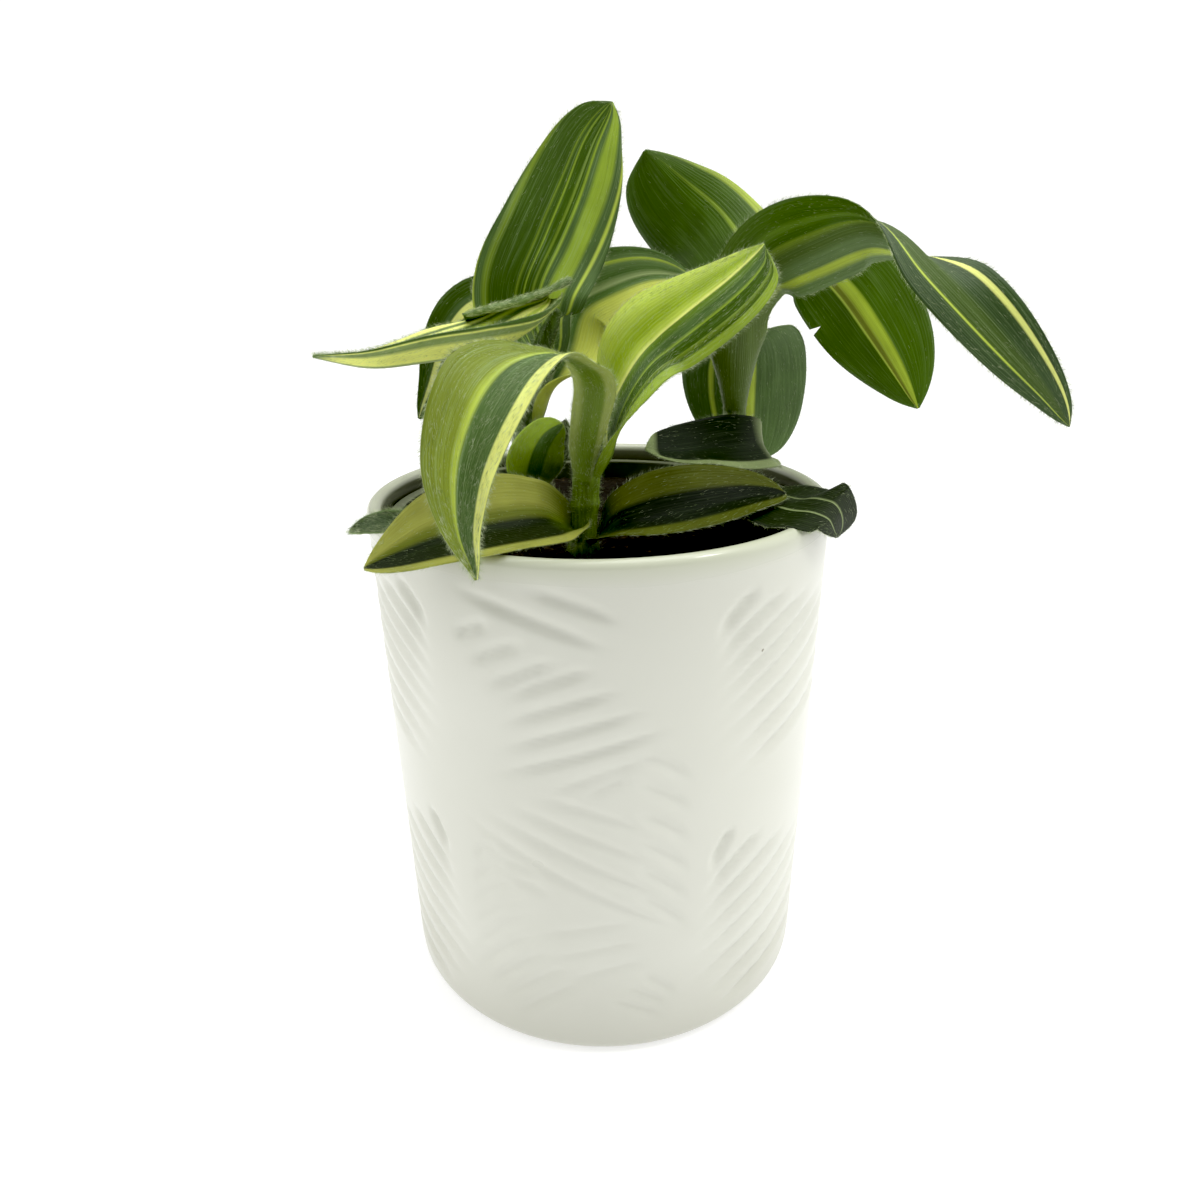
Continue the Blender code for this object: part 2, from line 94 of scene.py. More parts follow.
# Shoots. A route's points are x, y, z, and the first lie in the soil. An outline's are the height and how much
# wider than the radius the shoot is there: a step outwards is a node, a step inwards the mouth of an old sheath.
SHOOT_SIDES = 36
SHOOT_ROWS = 130
STEMS = {
    "stem_front": dict(
        radius=3.1, green=(96, 118, 34),
        route=[
            (-4.2, -25, 118), (-3.9, -25, 128), (-3.4, -25, 138), (-2.2, -25, 151), (0, -25, 162), (1.4, -25, 167),
        ],
        outline=[
            (118, 0.0), (127.4, 0.5), (128.6, 0.9), (130.2, 0.5), (130.5, 0.1), (135, 0.0), (138, 0.1), (140, 0.5),
            (141.5, 0.1), (146, 0.2), (152, 0.0), (160, -0.8), (166, -2.2),
        ],
    ),
    "stem_left": dict(
        radius=2.7, green=(58, 78, 22),
        route=[
            (-20.3, 6, 118), (-20, 6, 128), (-19, 6, 141), (-18, 6, 154.5), (-16, 6, 167), (-12.5, 6, 176),
            (-9.5, 6, 182.5),
        ],
        outline=[
            (118, 0.0), (127.4, 0.4), (129, 0.8), (130.4, 0.2), (137, 0.0), (139.5, 0.5), (140.5, 0.1), (149, 0.2),
            (151, 0.6), (153, 0.3), (160, 0.8), (164, 0.9), (164.3, 0.3), (170, 0.2), (178, -0.4), (181.5, -1.4),
        ],
    ),
    "stem_right": dict(
        radius=2.9, green=(84, 104, 40),
        route=[
            (39.8, 18, 118), (39.4, 18, 129), (38.5, 18, 140), (38, 18, 154), (38, 18, 167.5), (39, 18, 178),
            (39, 18, 185.5),
        ],
        outline=[
            (118, 0.0), (127.4, 0.4), (129, 0.7), (131, 0.2), (140, 0.0), (143.5, 0.5), (145, 0.3), (151.6, 0.8),
            (152, 0.2), (156, 0.2), (164, 0.3), (172, 0.5), (176, 0.2), (184.5, -1.6),
        ],
    ),
}

# Leaves. A route's rows are x, y, z, the way that the upper side faces there, and its fold in degrees. A pair of
# values is for the left and the right half, seen from the sheath with the upper side up. The clearance is how far
# the sheath stands off its stem.
LINE_STEPS = 24
CLEARANCE = 0.9
SHEATH_OPENING = 0.14
SHEATH_SHARE = 0.09
LEAF_THICKNESS = 0.7
THIN_MARGIN = 0.35
LEAF_ROWS = 72
LEAF_COLUMNS = 27
BLADE_ROOM = 0.36
NOTCH_LEAF = "leaf_right_hanging"
NOTCH_ROW = 41
NOTCH_BITES = (0.9, 0.6, 0.3)
LEAVES = {
    "leaf_tall_upright": dict(
        stem="stem_left", height=165, bearing=125, sheath_height=7, clearance=1.4, width=(14, 17), cup=18,
        peak=0.36, tip=0.6, route=[
            (-19, 13.5, 178, 0.1, -0.9, 0.4, 0), (-18, 16, 187.5, 0.1, -1, 0.3, 12),
            (-12.5, 20, 199, 0.2, -1, 0.2, 12), (-7, 24, 210.5, 0.2, -1, 0.2, 12),
            (-1.5, 28, 222.5, 0.2, -1, 0.2, 12), (5, 31, 231.5, 0.2, -1, 0.2, 12),
        ]),
    "leaf_left_folded": dict(
        stem="stem_left", height=184.5, clearance=0.3, width=25, cup=20, peak=0.35, tip=1.0, base=4, clasp=35,
        route=[
            (-13.5, -3, 180.5, -0.3, -0.3, 0.9, 15), (-20.5, -14, 176, -0.2, -0.1, 1, 18),
            (-30, -25, 174.5, -0.1, 0, 1, 20), (-38, -33, 174, -0.1, 0.1, 1, 22), (-47.5, -40, 174, 0, 0.2, 1, 24),
            (-57, -46, 177, 0.2, 0.2, 1, 24),
        ]),
    "leaf_left_hanging": dict(
        stem="stem_left", height=141, bearing=185, sheath_height=6, clearance=1.2, width=27, grow=2, base=4.6,
        route=[
            (-24.5, 22, 170, 0.2, -0.8, 0.6, 5), (-26, 27, 178, 0.4, -0.5, 0.7, 15),
            (-31.5, 29, 179, -0.4, -0.7, 0.6, 12), (-38.5, 29, 171, -0.2, -1, 0.2, 12),
            (-44.5, 28, 160.5, 0, -1, 0.2, 12), (-51, 26, 151.5, 0.1, -1, 0.1, 12),
        ]),
    "leaf_front_arching": dict(
        stem="stem_front", height=145, bearing=262, sheath_height=7, clearance=1.0, width=(8, 11.2), cup=10,
        peak=(0.5, 0.62), tip=(0.75, 1.5), base=(2, 4.4), clasp=38, sheath=0.06, grow=(2, 20), route=[
            (-1.6, -32, 160, 0.2, 0.9, 0, 0), (-0.8, -33.8, 169, 0.4, 0.9, 0.3, 0),
            (-4.5, -38, 174.3, 0.4, 0.2, 0.9, 0), (-10, -43, 176, 0, -0.1, 1, 10),
            (-16.5, -50, 174, 0.1, -0.6, 0.8, 18), (-21.5, -57, 168, 0.2, -0.8, 0.5, 20),
            (-25, -61, 160.5, 0.2, -0.9, 0.3, 20), (-26.5, -63, 153.5, 0.1, -1, 0.2, 20),
            (-27, -64, 144.5, 0.2, -1, 0.1, 20), (-24.5, -65, 135.5, 0.2, -1, 0.2, 15),
        ]),
    "leaf_right_boat": dict(
        stem="stem_front", height=146, bearing=2, sheath_height=5, clearance=2.5, width=(14, 10.6), cup=(-35, 10),
        peak=(0.27, 0.68), tip=(0.9, 0.25), clasp=80, base=(7, 5.8), grow=(1, 2.2), sheath=0.04, open=0.28, route=[
            (4.4, -24, 158.5, -0.9, -0.5, 0.1, 0), (7.2, -23, 167, -0.6, -0.7, 0.4, 0),
            (12, -20.5, 175.5, -0.2, -0.9, 0.3, -3), (19.5, -20, 182, -0.1, -1, 0.3, -8),
            (30, -17, 189.5, 0, -0.9, 0.4, -8), (38.5, -13, 196.5, 0.1, -0.9, 0.4, -5),
        ]),
    "leaf_back_centre": dict(
        stem="stem_left", height=151, bearing=5, sheath_height=6, clearance=1.4, width=25, grow=2, base=4.6,
        route=[
            (-9, 15, 170.5, 0.1, -0.8, 0.5, 5), (-5, 22, 181, -0.1, -0.9, 0.5, 8),
            (4, 23, 186, -0.1, -0.9, 0.4, 10), (14.5, 24, 189, 0, -0.9, 0.4, 10), (26, 24, 188.5, 0, -0.9, 0.4, 8),
        ]),
    "leaf_back_upper": dict(
        stem="stem_right", height=184, bearing=-80, sheath_height=4, width=(14, 17), peak=(0.3, 0.6),
        tip=(0.9, 0.4), route=[
            (36, 21, 193.5, 0.4, 0.8, -0.4, 3), (30.5, 27, 202, 0.3, 0.9, -0.2, 12), (22.5, 30, 210, 0.2, 1, 0, 12),
            (13.5, 31, 220, 0.1, 1, 0, 12),
        ]),
    "leaf_right_arching": dict(
        stem="stem_right", height=153, bearing=-70, sheath_height=9, clearance=1, width=(12.2, 11.2), cup=12,
        peak=0.3, tip=0.7, sheath=0.09, open=0.07, clasp=95, base=6.5, grow=(1, 1), neck=(0.18, 0.035, 0.5, 0.1),
        route=[
            (39.5, 9, 186.5, -0.3, 0.9, 0.3, 0), (44.5, 6, 193.5, 0.3, 0.9, 0.3, 0),
            (52.5, 2, 197.5, 0.3, 0.9, 0.4, -10), (60, -2, 201, 0.2, 0.8, 0.6, -25),
            (66, -5, 201.5, 0.4, 0.4, 0.8, -30), (72, -8, 198, 0.6, -0.1, 0.8, -30),
            (77.5, -11, 192.5, 0.4, -0.6, 0.7, -20), (84.5, -14, 185.5, 0.2, -0.9, 0.4, -5),
            (97.5, -15, 173, 0, -1, 0, 5), (108.5, -14, 162.5, -0.1, -1, -0.3, 8),
            (116, -12, 154, -0.1, -0.9, -0.3, 8),
        ]),
    "leaf_right_hanging": dict(
        stem="stem_right", height=172, width=32, cup=15, peak=0.6, tip=0.8, base=3, clasp=35, grow=1.5, route=[
            (48.5, 27, 182.5, -0.8, 0.5, 0.3, 5), (53.5, 31, 189.5, -0.6, 0.7, 0.4, 12),
            (62.5, 34, 191, -0.1, 0.9, 0.4, 12), (72, 36, 184.5, 0.1, 1, 0.1, 12), (81.5, 35, 172.5, 0.2, 1, 0, 12),
            (88.5, 33, 161.5, 0.3, 1, 0, 12), (93.5, 31, 151.5, 0.3, 1, -0.1, 12),
        ]),
    "leaf_behind_right_stem": dict(
        stem="stem_right", height=169.5, width=(21, 17.6), cup=12, peak=(0.5, 0.62), base=3, clasp=35,
        grow=(1.5, 1.1), tip=(0.7, 0.38), route=[
            (41, 27, 173.5, 0, -0.2, 1, 0), (44, 36, 172, -0.1, 0.3, 1, 0), (46.5, 43, 164, 0, 0.9, 0.5, 5),
            (47, 46, 153, 0, 1, 0.1, 8), (47.5, 48, 143, 0, 1, 0.1, 8), (48.5, 50.5, 131, 0, 1, 0.1, 8),
        ]),
    "leaf_low_back_right": dict(
        stem="stem_right", height=138, bearing=-60, width=(10, 8.5), clasp=20, base=3, peak=(0.55, 0.6),
        tip=(0.5, 0.4), grow=(1.3, 1.5), route=[
            (43.5, 11, 142, 0.3, -0.3, 1, 4), (44, 5.5, 147, 0.5, -0.6, 0.6, 6), (38, 0.5, 148, 0.2, -0.7, 0.7, 8),
            (27.5, -3, 147.5, 0, -0.5, 0.8, 10), (19.5, -6, 147.5, 0.1, -0.5, 0.9, 12),
            (12, -8, 149, 0.2, -0.5, 0.9, 12),
        ]),
    "leaf_low_front_right": dict(
        stem="stem_front", height=130.5, width=(12, 9.6), tip=0.6, base=3.5, clasp=40, route=[
            (4.5, -29, 135, -0.4, -0.4, 0.8, 12), (14.5, -28, 137, -0.1, -0.5, 0.9, 12),
            (25.5, -26, 138.5, 0, -0.5, 0.9, 12), (36.5, -22, 139.5, 0.1, -0.4, 0.9, 12),
            (46, -18, 139.5, 0.2, -0.4, 0.9, 12),
        ]),
    "leaf_low_right_over_rim": dict(
        stem="stem_right", height=131, width=(14.5, 14), peak=(0.74, 0.68), tip=(0.33, 0.5), base=3, clasp=30,
        cup=5, grow=(1.3, 3), route=[
            (42.5, 7, 132.8, -0.2, -0.1, 1, 0), (43, -5, 135, -0.2, -0.2, 0.9, 0),
            (44, -14, 136.8, -0.1, -0.1, 1, 0), (46, -21, 137.9, 0, -0.15, 1, 0),
            (49, -26, 138.8, -0.06, -0.25, 1, -2), (52.3, -29.6, 139.1, 0.4, -0.5, 0.8, -3),
            (54.8, -31, 137.5, 0.7, -0.6, 0.5, -2), (55.6, -32, 132.6, 0.8, -0.6, 0.2, 0),
        ]),
    "leaf_low_left_over_rim": dict(
        stem="stem_front", height=133, bearing=215, clearance=1.3, width=(12.8, 14), base=(7, 8), clasp=80,
        sheath=0.03, open=0.14, route=[
            (-11.5, -32.5, 137, 0.4, -0.3, 0.9, 12), (-22.5, -41.5, 138.5, 0.3, -0.3, 0.9, 12),
            (-33.5, -50.5, 138.6, 0.2, -0.4, 0.9, 12), (-41.5, -53.5, 136.8, -0.1, -0.5, 0.8, 12),
            (-49.5, -54, 134.3, -0.3, -0.5, 0.8, 12),
        ]),
    "leaf_low_far_left": dict(
        stem="stem_left", height=130.5, width=13.5, peak=0.6, base=3, clasp=30, tip=0.5, route=[
            (-30, -13.5, 132.5, 0.3, 0, 0.9, 5), (-39, -31, 136.3, 0.3, 0, 0.9, 5),
            (-47.5, -38.5, 138.8, 0, -0.2, 1, 5), (-56.5, -36.5, 137.6, -0.4, -0.3, 0.9, 12),
        ]),
    "leaf_young_centre": dict(
        stem="stem_left", height=136, bearing=-80, width=14, base=3, clasp=10, tip=0.6, route=[
            (-16, -4, 146, 0.1, 0.9, 0.4, 0), (-12.8, -6, 152, 0.2, 1, 0.2, 12), (-8.7, -7, 155.5, 0.2, 1, 0, 12),
        ]),
    "leaf_young_hairy": dict(
        stem="stem_left", height=134, width=8, base=2, clasp=20, route=[
            (-10, 10, 148, 0, -1, 0.2, 12), (-8.5, 12, 153, 0.1, -0.9, 0.3, 12),
        ]),
}

# The far margin of the folded leaf rolls over near its sheath and stands above the blade.
HEM_LEAF = "leaf_left_folded"
HEM = [(-31, -13, 182.3), (-26, -9, 183.2), (-20.6, -5, 184.2), (-15, -1, 185.7), (-10.2, 2, 187.4), (-6.5, 3.5, 189)]
HEM_SHARE = 0.34
HEM_ROWS = 44
HEM_COLUMNS = 25
HEM_FLAT = HEM_COLUMNS // 3
HEM_THICKNESS = 0.2

# Hairs
SHOOT_HAIRS = 2200
HAIR_LENGTH = (0.7, 1.9)
HAIR_RADIUS = (0.016, 0.03)

# A light tent: dim on the camera's side, bright at the sides and above, less so behind
TENT_FRONT = 0.08
TENT_SIDES = 1.75
TENT_BACK = 0.35
TENT_TOP = 1.25
BACKDROP = 1.1
FLOOR_GLOW = 0.58
# Each lamp's place, width and power
LAMPS = {"overhead_softbox": ((0.1, 0.15, 0.9), 0.7, 2.3), "small_lamp": ((0.46, -0.13, 0.8), 0.12, 1.1)}
CAMERA_PLACE = (0, -0.233, 0.197)
CAMERA_TILT = 68.5
CAMERA_ROLL = -0.86


def paint(red, green, blue):
    """A colour picked on screen, 0 to 255, as the shader's linear values."""
    screen = np.array([red, green, blue]) / 255
    linear = np.where(screen <= 0.04045, screen / 12.92, ((screen + 0.055) / 1.055) ** 2.4)
    return (*[float(c) for c in linear], 1.0)


GREENS = {name: paint(*screen) for name, screen in dict(
    forest=(60, 88, 2), slate=(78, 104, 50), mist=(106, 130, 78), silver=(140, 160, 100), dusk=(58, 80, 40),
    moss_dark=(70, 92, 34), moss=(96, 126, 36), meadow=(118, 142, 40), backlit=(66, 96, 2), satin=(82, 104, 40),
    lime=(184, 204, 78), herb=(124, 140, 40), sage=(158, 172, 92), fresh=(106, 130, 40), leaf_lime=(144, 170, 52),
    bright=(166, 188, 58), deep_bright=(142, 168, 22), cream=(236, 242, 136), khaki=(178, 186, 80),
    olive=(112, 122, 34), pale_olive=(174, 178, 84), dusky=(26, 38, 8), inky=(18, 32, 4), pale=(150, 166, 112),
).items()}
HAIR_STREAK = paint(160, 184, 130)

# How each blade looks. "hairs" are the hairs on its upper side, those on its underside, and those to a millimetre
# of margin. "upper" and "under" are bands from the left margin to the right one, each as where it ends, its colour
# and how soft its end is, and without "under" both sides are alike. "sheath" and "tip" are a green and where along
# the blade it comes in. "spread", "lean" and "wander" are for how the veins run.
# A factor scales all of a blade's colours and paints its light: below 1 it paints the shade that a low blade sits in
# under the plant, above 1 it paints light onto a blade that faces away from the lamps.
LOOKS = {
    "leaf_tall_upright": dict(
        hairs=(500, 200, 6.0), spread=0.36, wander=0.07,
        upper=[
            (0.03, "lime", 0.01), (0.1, "slate", 0.02), (0.15, "meadow", 0.02), (0.405, "forest"),
            (0.42, "meadow", 0.01), (0.475, "forest"), (0.487, "leaf_lime"), (0.55, "forest"), (0.562, "meadow"),
            (0.6, "forest"), (0.62, "leaf_lime"), (0.67, "slate", 0.015), (0.79, "leaf_lime", 0.015),
            (0.855, "slate"), (0.88, "lime"), (1, "slate"),
        ],
    ),
    "leaf_left_folded": dict(
        hairs=(2400, 2400, 15.0), painted_light=1.2, lean=-0.12, sheath=(None, 0.0, 0.05, 0.3), tip=("mist", 0.95, 0.99),
        upper=[
            (0.08, "cream", 0.02), (0.12, "slate", 0.02), (0.2, "cream", 0.02), (0.38, "silver", 0.05),
            (0.44, "slate", 0.02), (0.52, "cream", 0.02), (0.6, "lime", 0.02), (0.7, "cream", 0.02),
            (0.78, "slate", 0.02), (0.84, "lime", 0.02), (0.885, "slate", 0.015), (0.92, "cream", 0.01),
            (0.955, "slate", 0.012), (1, "cream"),
        ],
        under=[
            (0.035, "slate", 0.01), (0.06, "cream", 0.01), (0.17, "silver", 0.03), (0.45, "cream", 0.02),
            (1, "pale"),
        ],
    ),
    "leaf_left_hanging": dict(
        hairs=(900, 300, 5.0), spread=0.1,
        upper=[(0.28, "slate", 0.1), (0.64, "forest"), (0.73, "cream"), (0.8, "slate"), (1, "forest")],
    ),
    "leaf_front_arching": dict(
        hairs=(5200, 3600, 13.0), streaks=0.9,
        upper=[(0.18, "cream", 0.012), (0.58, "slate", 0.02), (0.63, "lime", 0.05), (1, "herb")],
        under=[(0.22, "sage", 0.05), (0.76, "fresh", 0.1), (1, "sage")],
    ),
    "leaf_right_boat": dict(
        hairs=(3200, 900, 11.0), lean=0.2,
        upper=[
            (0.12, "lime", 0.05), (0.26, "bright", 0.06), (0.44, "deep_bright", 0.04), (0.49, "lime", 0.02),
            (0.512, "cream", 0.01), (0.58, "moss", 0.03), (0.69, "slate", 0.02), (0.705, "leaf_lime", 0.005),
            (0.8, "forest", 0.02), (0.812, "meadow", 0.004), (0.895, "forest", 0.01), (1, "leaf_lime"),
        ],
    ),
    "leaf_back_centre": dict(
        hairs=(1200, 400, 4.0), spread=0.2, painted_light=1.4,
        upper=[
            (0.16, "slate", 0.05), (0.19, "lime", 0.01), (0.32, "mist", 0.06), (0.42, "slate", 0.05),
            (0.47, "pale", 0.03), (0.6, "slate", 0.04), (1, "khaki"),
        ],
    ),
    "leaf_back_upper": dict(
        hairs=(80, 200, 2.0), spread=0.1, tip=("backlit", 0.35, 1.0),
        upper=[(0.08, "lime"), (0.33, "forest"), (0.36, "lime"), (1, "forest")],
        under=[(0.09, "lime", 0.01), (0.32, "backlit", 0.01), (0.36, "leaf_lime", 0.012), (1, "backlit")],
    ),
    "leaf_right_arching": dict(
        hairs=(1600, 2200, 9.0), sheath=(None, 0.2, 0.34, 1.0),
        upper=[
            (0.13, "dusk"), (0.2, "cream", 0.015), (0.45, "dusk", 0.05), (0.71, "moss_dark"), (0.74, "lime"),
            (1, "dusk"),
        ],
        under=[
            (0.13, "mist", 0.03), (0.22, "lime", 0.015), (0.36, "mist", 0.05), (0.52, "satin", 0.05),
            (0.58, "meadow", 0.02), (0.7, "backlit", 0.04), (0.76, "moss", 0.03), (1, "backlit"),
        ],
    ),
    "leaf_right_hanging": dict(
        hairs=(80, 200, 2.0),
        upper=[(0.39, "forest"), (0.41, "lime"), (0.45, "forest"), (0.55, "lime"), (1, "forest")],
        under=[(0.385, "backlit"), (0.4, "lime"), (0.45, "olive", 0.015), (0.54, "bright", 0.015), (1, "backlit")],
    ),
    "leaf_behind_right_stem": dict(
        hairs=(200, 900, 4.0), spread=0.2,
        upper=[(0.23, "forest"), (0.26, "lime"), (0.47, "forest"), (0.53, "lime"), (1, "forest")],
        under=[(0.22, "slate"), (0.25, "lime", 0.01), (0.47, "slate"), (0.53, "lime", 0.01), (1, "slate")],
    ),
    "leaf_low_back_right": dict(
        hairs=(300, 300, 5.0), sheath=("pale", 0.26, 0.36, 1.0), tip=("pale", 0.93, 0.96), painted_light=0.85, streaks=0.1,
        gloss=0.15,
        upper=[(0.17, "pale", 0.02), (1, "inky")],
    ),
    "leaf_low_front_right": dict(
        hairs=(450, 300, 5.0), painted_light=0.5, streaks=0.1, gloss=0.1,
        upper=[(0.27, "olive", 0.03), (0.74, "inky", 0.03), (1, "olive")],
    ),
    "leaf_low_right_over_rim": dict(
        hairs=(500, 300, 7.0), painted_light=0.9, streaks=0.1, gloss=0.15,
        upper=[
            (0.35, "dusky", 0.02), (0.365, "pale", 0.01), (0.63, "dusky", 0.02), (0.645, "pale", 0.01),
            (1, "dusky"),
        ],
    ),
    "leaf_low_left_over_rim": dict(
        hairs=(600, 400, 6.0), painted_light=0.85, streaks=0.1, gloss=0.15,
        upper=[(0.17, "pale_olive", 0.03), (0.58, "dusky", 0.03), (0.7, "olive", 0.05), (1, "pale_olive")],
    ),
    "leaf_low_far_left": dict(
        hairs=(3200, 900, 18.0), painted_light=0.8,
        upper=[(0.06, "mist", 0.02), (0.94, "dusk", 0.03), (1, "mist")],
    ),
    "leaf_young_centre": dict(
        hairs=(900, 900, 5.0), sheath=(None, 0.0, 0.05, 0.5), painted_light=1.35,
        upper=[(0.34, "moss", 0.02), (0.6, "slate", 0.02), (1, "leaf_lime")],
        under=[(0.34, "meadow", 0.02), (0.6, "slate", 0.02), (1, "leaf_lime")],
    ),
    "leaf_young_hairy": dict(
        hairs=(900, 900, 7.0),
        upper=[(1, "dusky")],
    ),
}

# Frond relief: bundles of strokes on the pot's wall, round the degree that each kind of panel is drawn for. The
# first and the last stroke of a bundle go from (degrees round the pot, height) to (degrees, height). Then come how
# many strokes the bundle has, how far they bow upwards and how hard they are pressed.
FRONDS = {
    "front": (-8, [
        ((-30, 128, 1, 117), (-15, 130, 4, 123), 2, 1.0, 1.05),
        ((-33, 117, -24, 121), (-25, 106, -9, 114), 3, 0.8, 1),
        ((-20, 104, -1, 112), (-24, 83, 15, 96), 4, 1.2, 1.05), ((-12, 80, 11, 89), (-4, 79, 6, 84), 2, 1.0, 0.7),
        ((-15, 78, 9, 69), (-32, 67, 18, 38), 4, 2.0, 0.6), ((-27, 59, -15, 56), (-24, 54, -13, 51), 2, 0.8, 0.45),
        ((8, 90, 20, 82), (8, 50, 20, 39), 6, 1.6, 0.55), ((-33, 56, -26, 61), (-35, 27, -17, 44), 5, 2.2, 0.5),
        ((-34, 21, -17, 37), (-24, 8, -4, 24), 4, 2.2, 0.6), ((-17, 37, 7, 42), (-11, 23, 11, 30), 3, 1.4, 0.55),
        ((9, 26, 18, 17), (1, 18, 14, 11), 3, 0.8, 0.5),
    ]),
    "side": (52, [
        ((26, 117, 36, 125), (28, 97, 74, 114), 5, 1.8, 1.15), ((28, 91, 77, 107), (34, 80, 78, 90), 3, 1.6, 1.15),
        ((27, 54, 33, 63), (24, 27, 74, 42), 5, 1.6, 1.15), ((24, 20, 76, 34), (33, 8, 72, 14), 3, 1.4, 1.15),
    ]),
}
# Panels round the pot: the centre of each in degrees, its kind, and whether it is mirrored.
PANELS = [
    (-8, "front", 1), (52, "side", 1), (112, "front", -1), (172, "side", 1), (232, "front", 1), (-68, "side", -1),
]

# Lines and blades


def unit(vectors):
    vectors = np.asarray(vectors, float)
    return vectors / np.linalg.norm(vectors, axis=-1, keepdims=True)


def pair(value):
    return value if isinstance(value, tuple) else (value, value)


def smooth_step(value, low, high):
    t = np.clip((value - low) / (high - low), 0, 1)
    return t * t * (3 - 2 * t)


def smooth_line(points):
    """A Catmull-Rom line through the points; they may have any number of columns."""
    p = np.array(points, float)
    knots = np.concatenate([[2 * p[0] - p[1]], p, [2 * p[-1] - p[-2]]])
    t = np.linspace(0, 1, LINE_STEPS, endpoint=False)[:, None]
    runs = []
    for a, b, c, d in zip(knots, knots[1:], knots[2:], knots[3:]):
        cubic = 3 * b - a - 3 * c + d
        square = 2 * a - 5 * b + 4 * c - d
        runs.append(0.5 * (2 * b + (c - a) * t + square * t**2 + cubic * t**3))
    return np.concatenate(runs + [p[-1:]])


def distance_along(line):
    return np.concatenate([[0], np.cumsum(np.linalg.norm(np.diff(line, axis=0), axis=1))])


def even_rows(line, count):
    """The line's columns at that many places, evenly spaced along its x, y and z."""
    run = distance_along(line[:, :3])
    even = np.linspace(0, run[-1], count)
    return np.stack([np.interp(even, run, column) for column in line.T], axis=1)


def stem_axis(name, height):
    x, y, z = smooth_line(STEMS[name]["route"]).T
    return np.array([np.interp(height, z, x), np.interp(height, z, y), height])


def sheath_points(leaf):
    """Rows of x, y, z, upper side's direction and fold, where the blade meets its stem."""

    def beside_stem(height, bearing):
        turn = np.radians(bearing)
        out = np.array([np.cos(turn), np.sin(turn), 0.0])
        away = STEMS[leaf["stem"]]["radius"] + leaf.get("clearance", CLEARANCE)
        return stem_axis(leaf["stem"], height) + out * away, out

    height = leaf["height"]
    if "sheath_height" in leaf:
        sides = [beside_stem(level, leaf["bearing"]) for level in (height, height + leaf["sheath_height"])]
        return [[*place, *-out, 0] for place, out in sides]
    first = np.array(leaf["route"][0][:3], float)
    way = first - stem_axis(leaf["stem"], height)
    place, out = beside_stem(height, leaf.get("bearing", np.degrees(np.arctan2(way[1], way[0]))))
    upper = np.cross([-out[1], out[0], 0.0], unit(first - place))
    if upper @ (np.array([0, -0.3, 1]) - 0.3 * out) < 0:
        upper = -upper
    return [[*place, *upper, 0]]


def half_widths(s, leaf, side):
    """Half-width of one side along the blade: it widens to its peak, then narrows to the tip."""
    width = leaf["width"]
    full = width[side] if isinstance(width, tuple) else width / 2
    base = pair(leaf.get("base", 5.6))[side]
    peak = pair(leaf.get("peak", 0.4))[side]
    tip = pair(leaf.get("tip", 0.8))[side]
    grow = pair(leaf.get("grow", 1))[side]
    neck_at, neck_length, *narrower = leaf.get("neck", (0, 1, 0, 0))
    rise = np.sin(np.clip(s / peak, 0, 1) * np.pi / 2) ** grow
    fall = np.clip((s - peak) / (1 - peak), 0, 1)
    half = np.where(s < peak, base + (full - base) * rise, full * (1 - fall**2) ** tip)
    return half * (1 - narrower[side] * np.exp(-(((s - neck_at) / neck_length) ** 2))) + 0.35


def blade_points(leaf):
    """Points of the blade's middle surface, as rows from the sheath to the tip and columns across."""
    line = even_rows(smooth_line([*sheath_points(leaf), *leaf["route"]]), LEAF_ROWS)
    place, upper, fold = line[:, :3], line[:, 3:6], np.radians(line[:, 6])
    ahead = unit(np.gradient(place, axis=0))
    upper = unit(upper - (upper * ahead).sum(1, keepdims=True) * ahead)
    right = np.cross(ahead, upper)
    s = np.linspace(0, 1, LEAF_ROWS)
    sheath, clasp = leaf.get("sheath", 0.08), leaf.get("clasp", 75)
    opened = sheath + leaf.get("open", SHEATH_OPENING)
    points = np.zeros((LEAF_ROWS, LEAF_COLUMNS, 3))
    for column, across in enumerate(np.linspace(-1, 1, LEAF_COLUMNS)):
        side = 0 if across < 0 else 1
        cup = pair(leaf.get("cup", 20))[side]
        bend = np.radians(np.interp(s, [0, sheath, opened], [clasp, clasp, cup]))
        out = np.linspace(0, abs(across), 13)
        angle = fold[:, None] + bend[:, None] * out
        half = half_widths(s, leaf, side)
        flat = np.trapz(np.cos(angle), out, axis=1) * half * np.sign(across)
        lift = np.trapz(np.sin(angle), out, axis=1) * half
        points[:, column] = place + right * flat[:, None] + upper * lift[:, None]
    return points


# Mesh helpers


def deselect():
    bpy.ops.object.select_all(action="DESELECT")


def pick(obj):
    deselect()
    obj.select_set(True)
    bpy.context.view_layer.objects.active = obj


def finish(obj, name, slot, *nodes):
    """Names the piece, lets it ride on the root body and hides the imported parts that it stands for."""
    obj.name = name
    obj.data.name = name
    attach(obj, "root")
    if nodes:
        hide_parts(*nodes)
    return obj


def primitive(add, **measures):
    """A new primitive, selected alone, with its place in its mesh."""
    deselect()
    add(**measures)
    bpy.ops.object.transform_apply()
    return bpy.context.object


def get_points(mesh):
    points = np.empty(len(mesh.vertices) * 3)
    mesh.vertices.foreach_get("co", points)
    return points.reshape(-1, 3)


def set_points(mesh, points):
    """Moves the vertices to those points, given in millimetres."""
    mesh.vertices.foreach_set("co", np.asarray(points * MM, np.float32).ravel())
    mesh.update()


def select_edges(obj, wanted):
    """Selects the edges that `wanted` says yes to, in edit mode."""
    bpy.ops.mesh.select_mode(type="EDGE")
    bpy.ops.mesh.select_all(action="DESELECT")
    work = bmesh.from_edit_mesh(obj.data)
    for edge in work.edges:
        if wanted(edge):
            edge.select_set(True)
    work.select_flush_mode()
    bmesh.update_edit_mesh(obj.data)


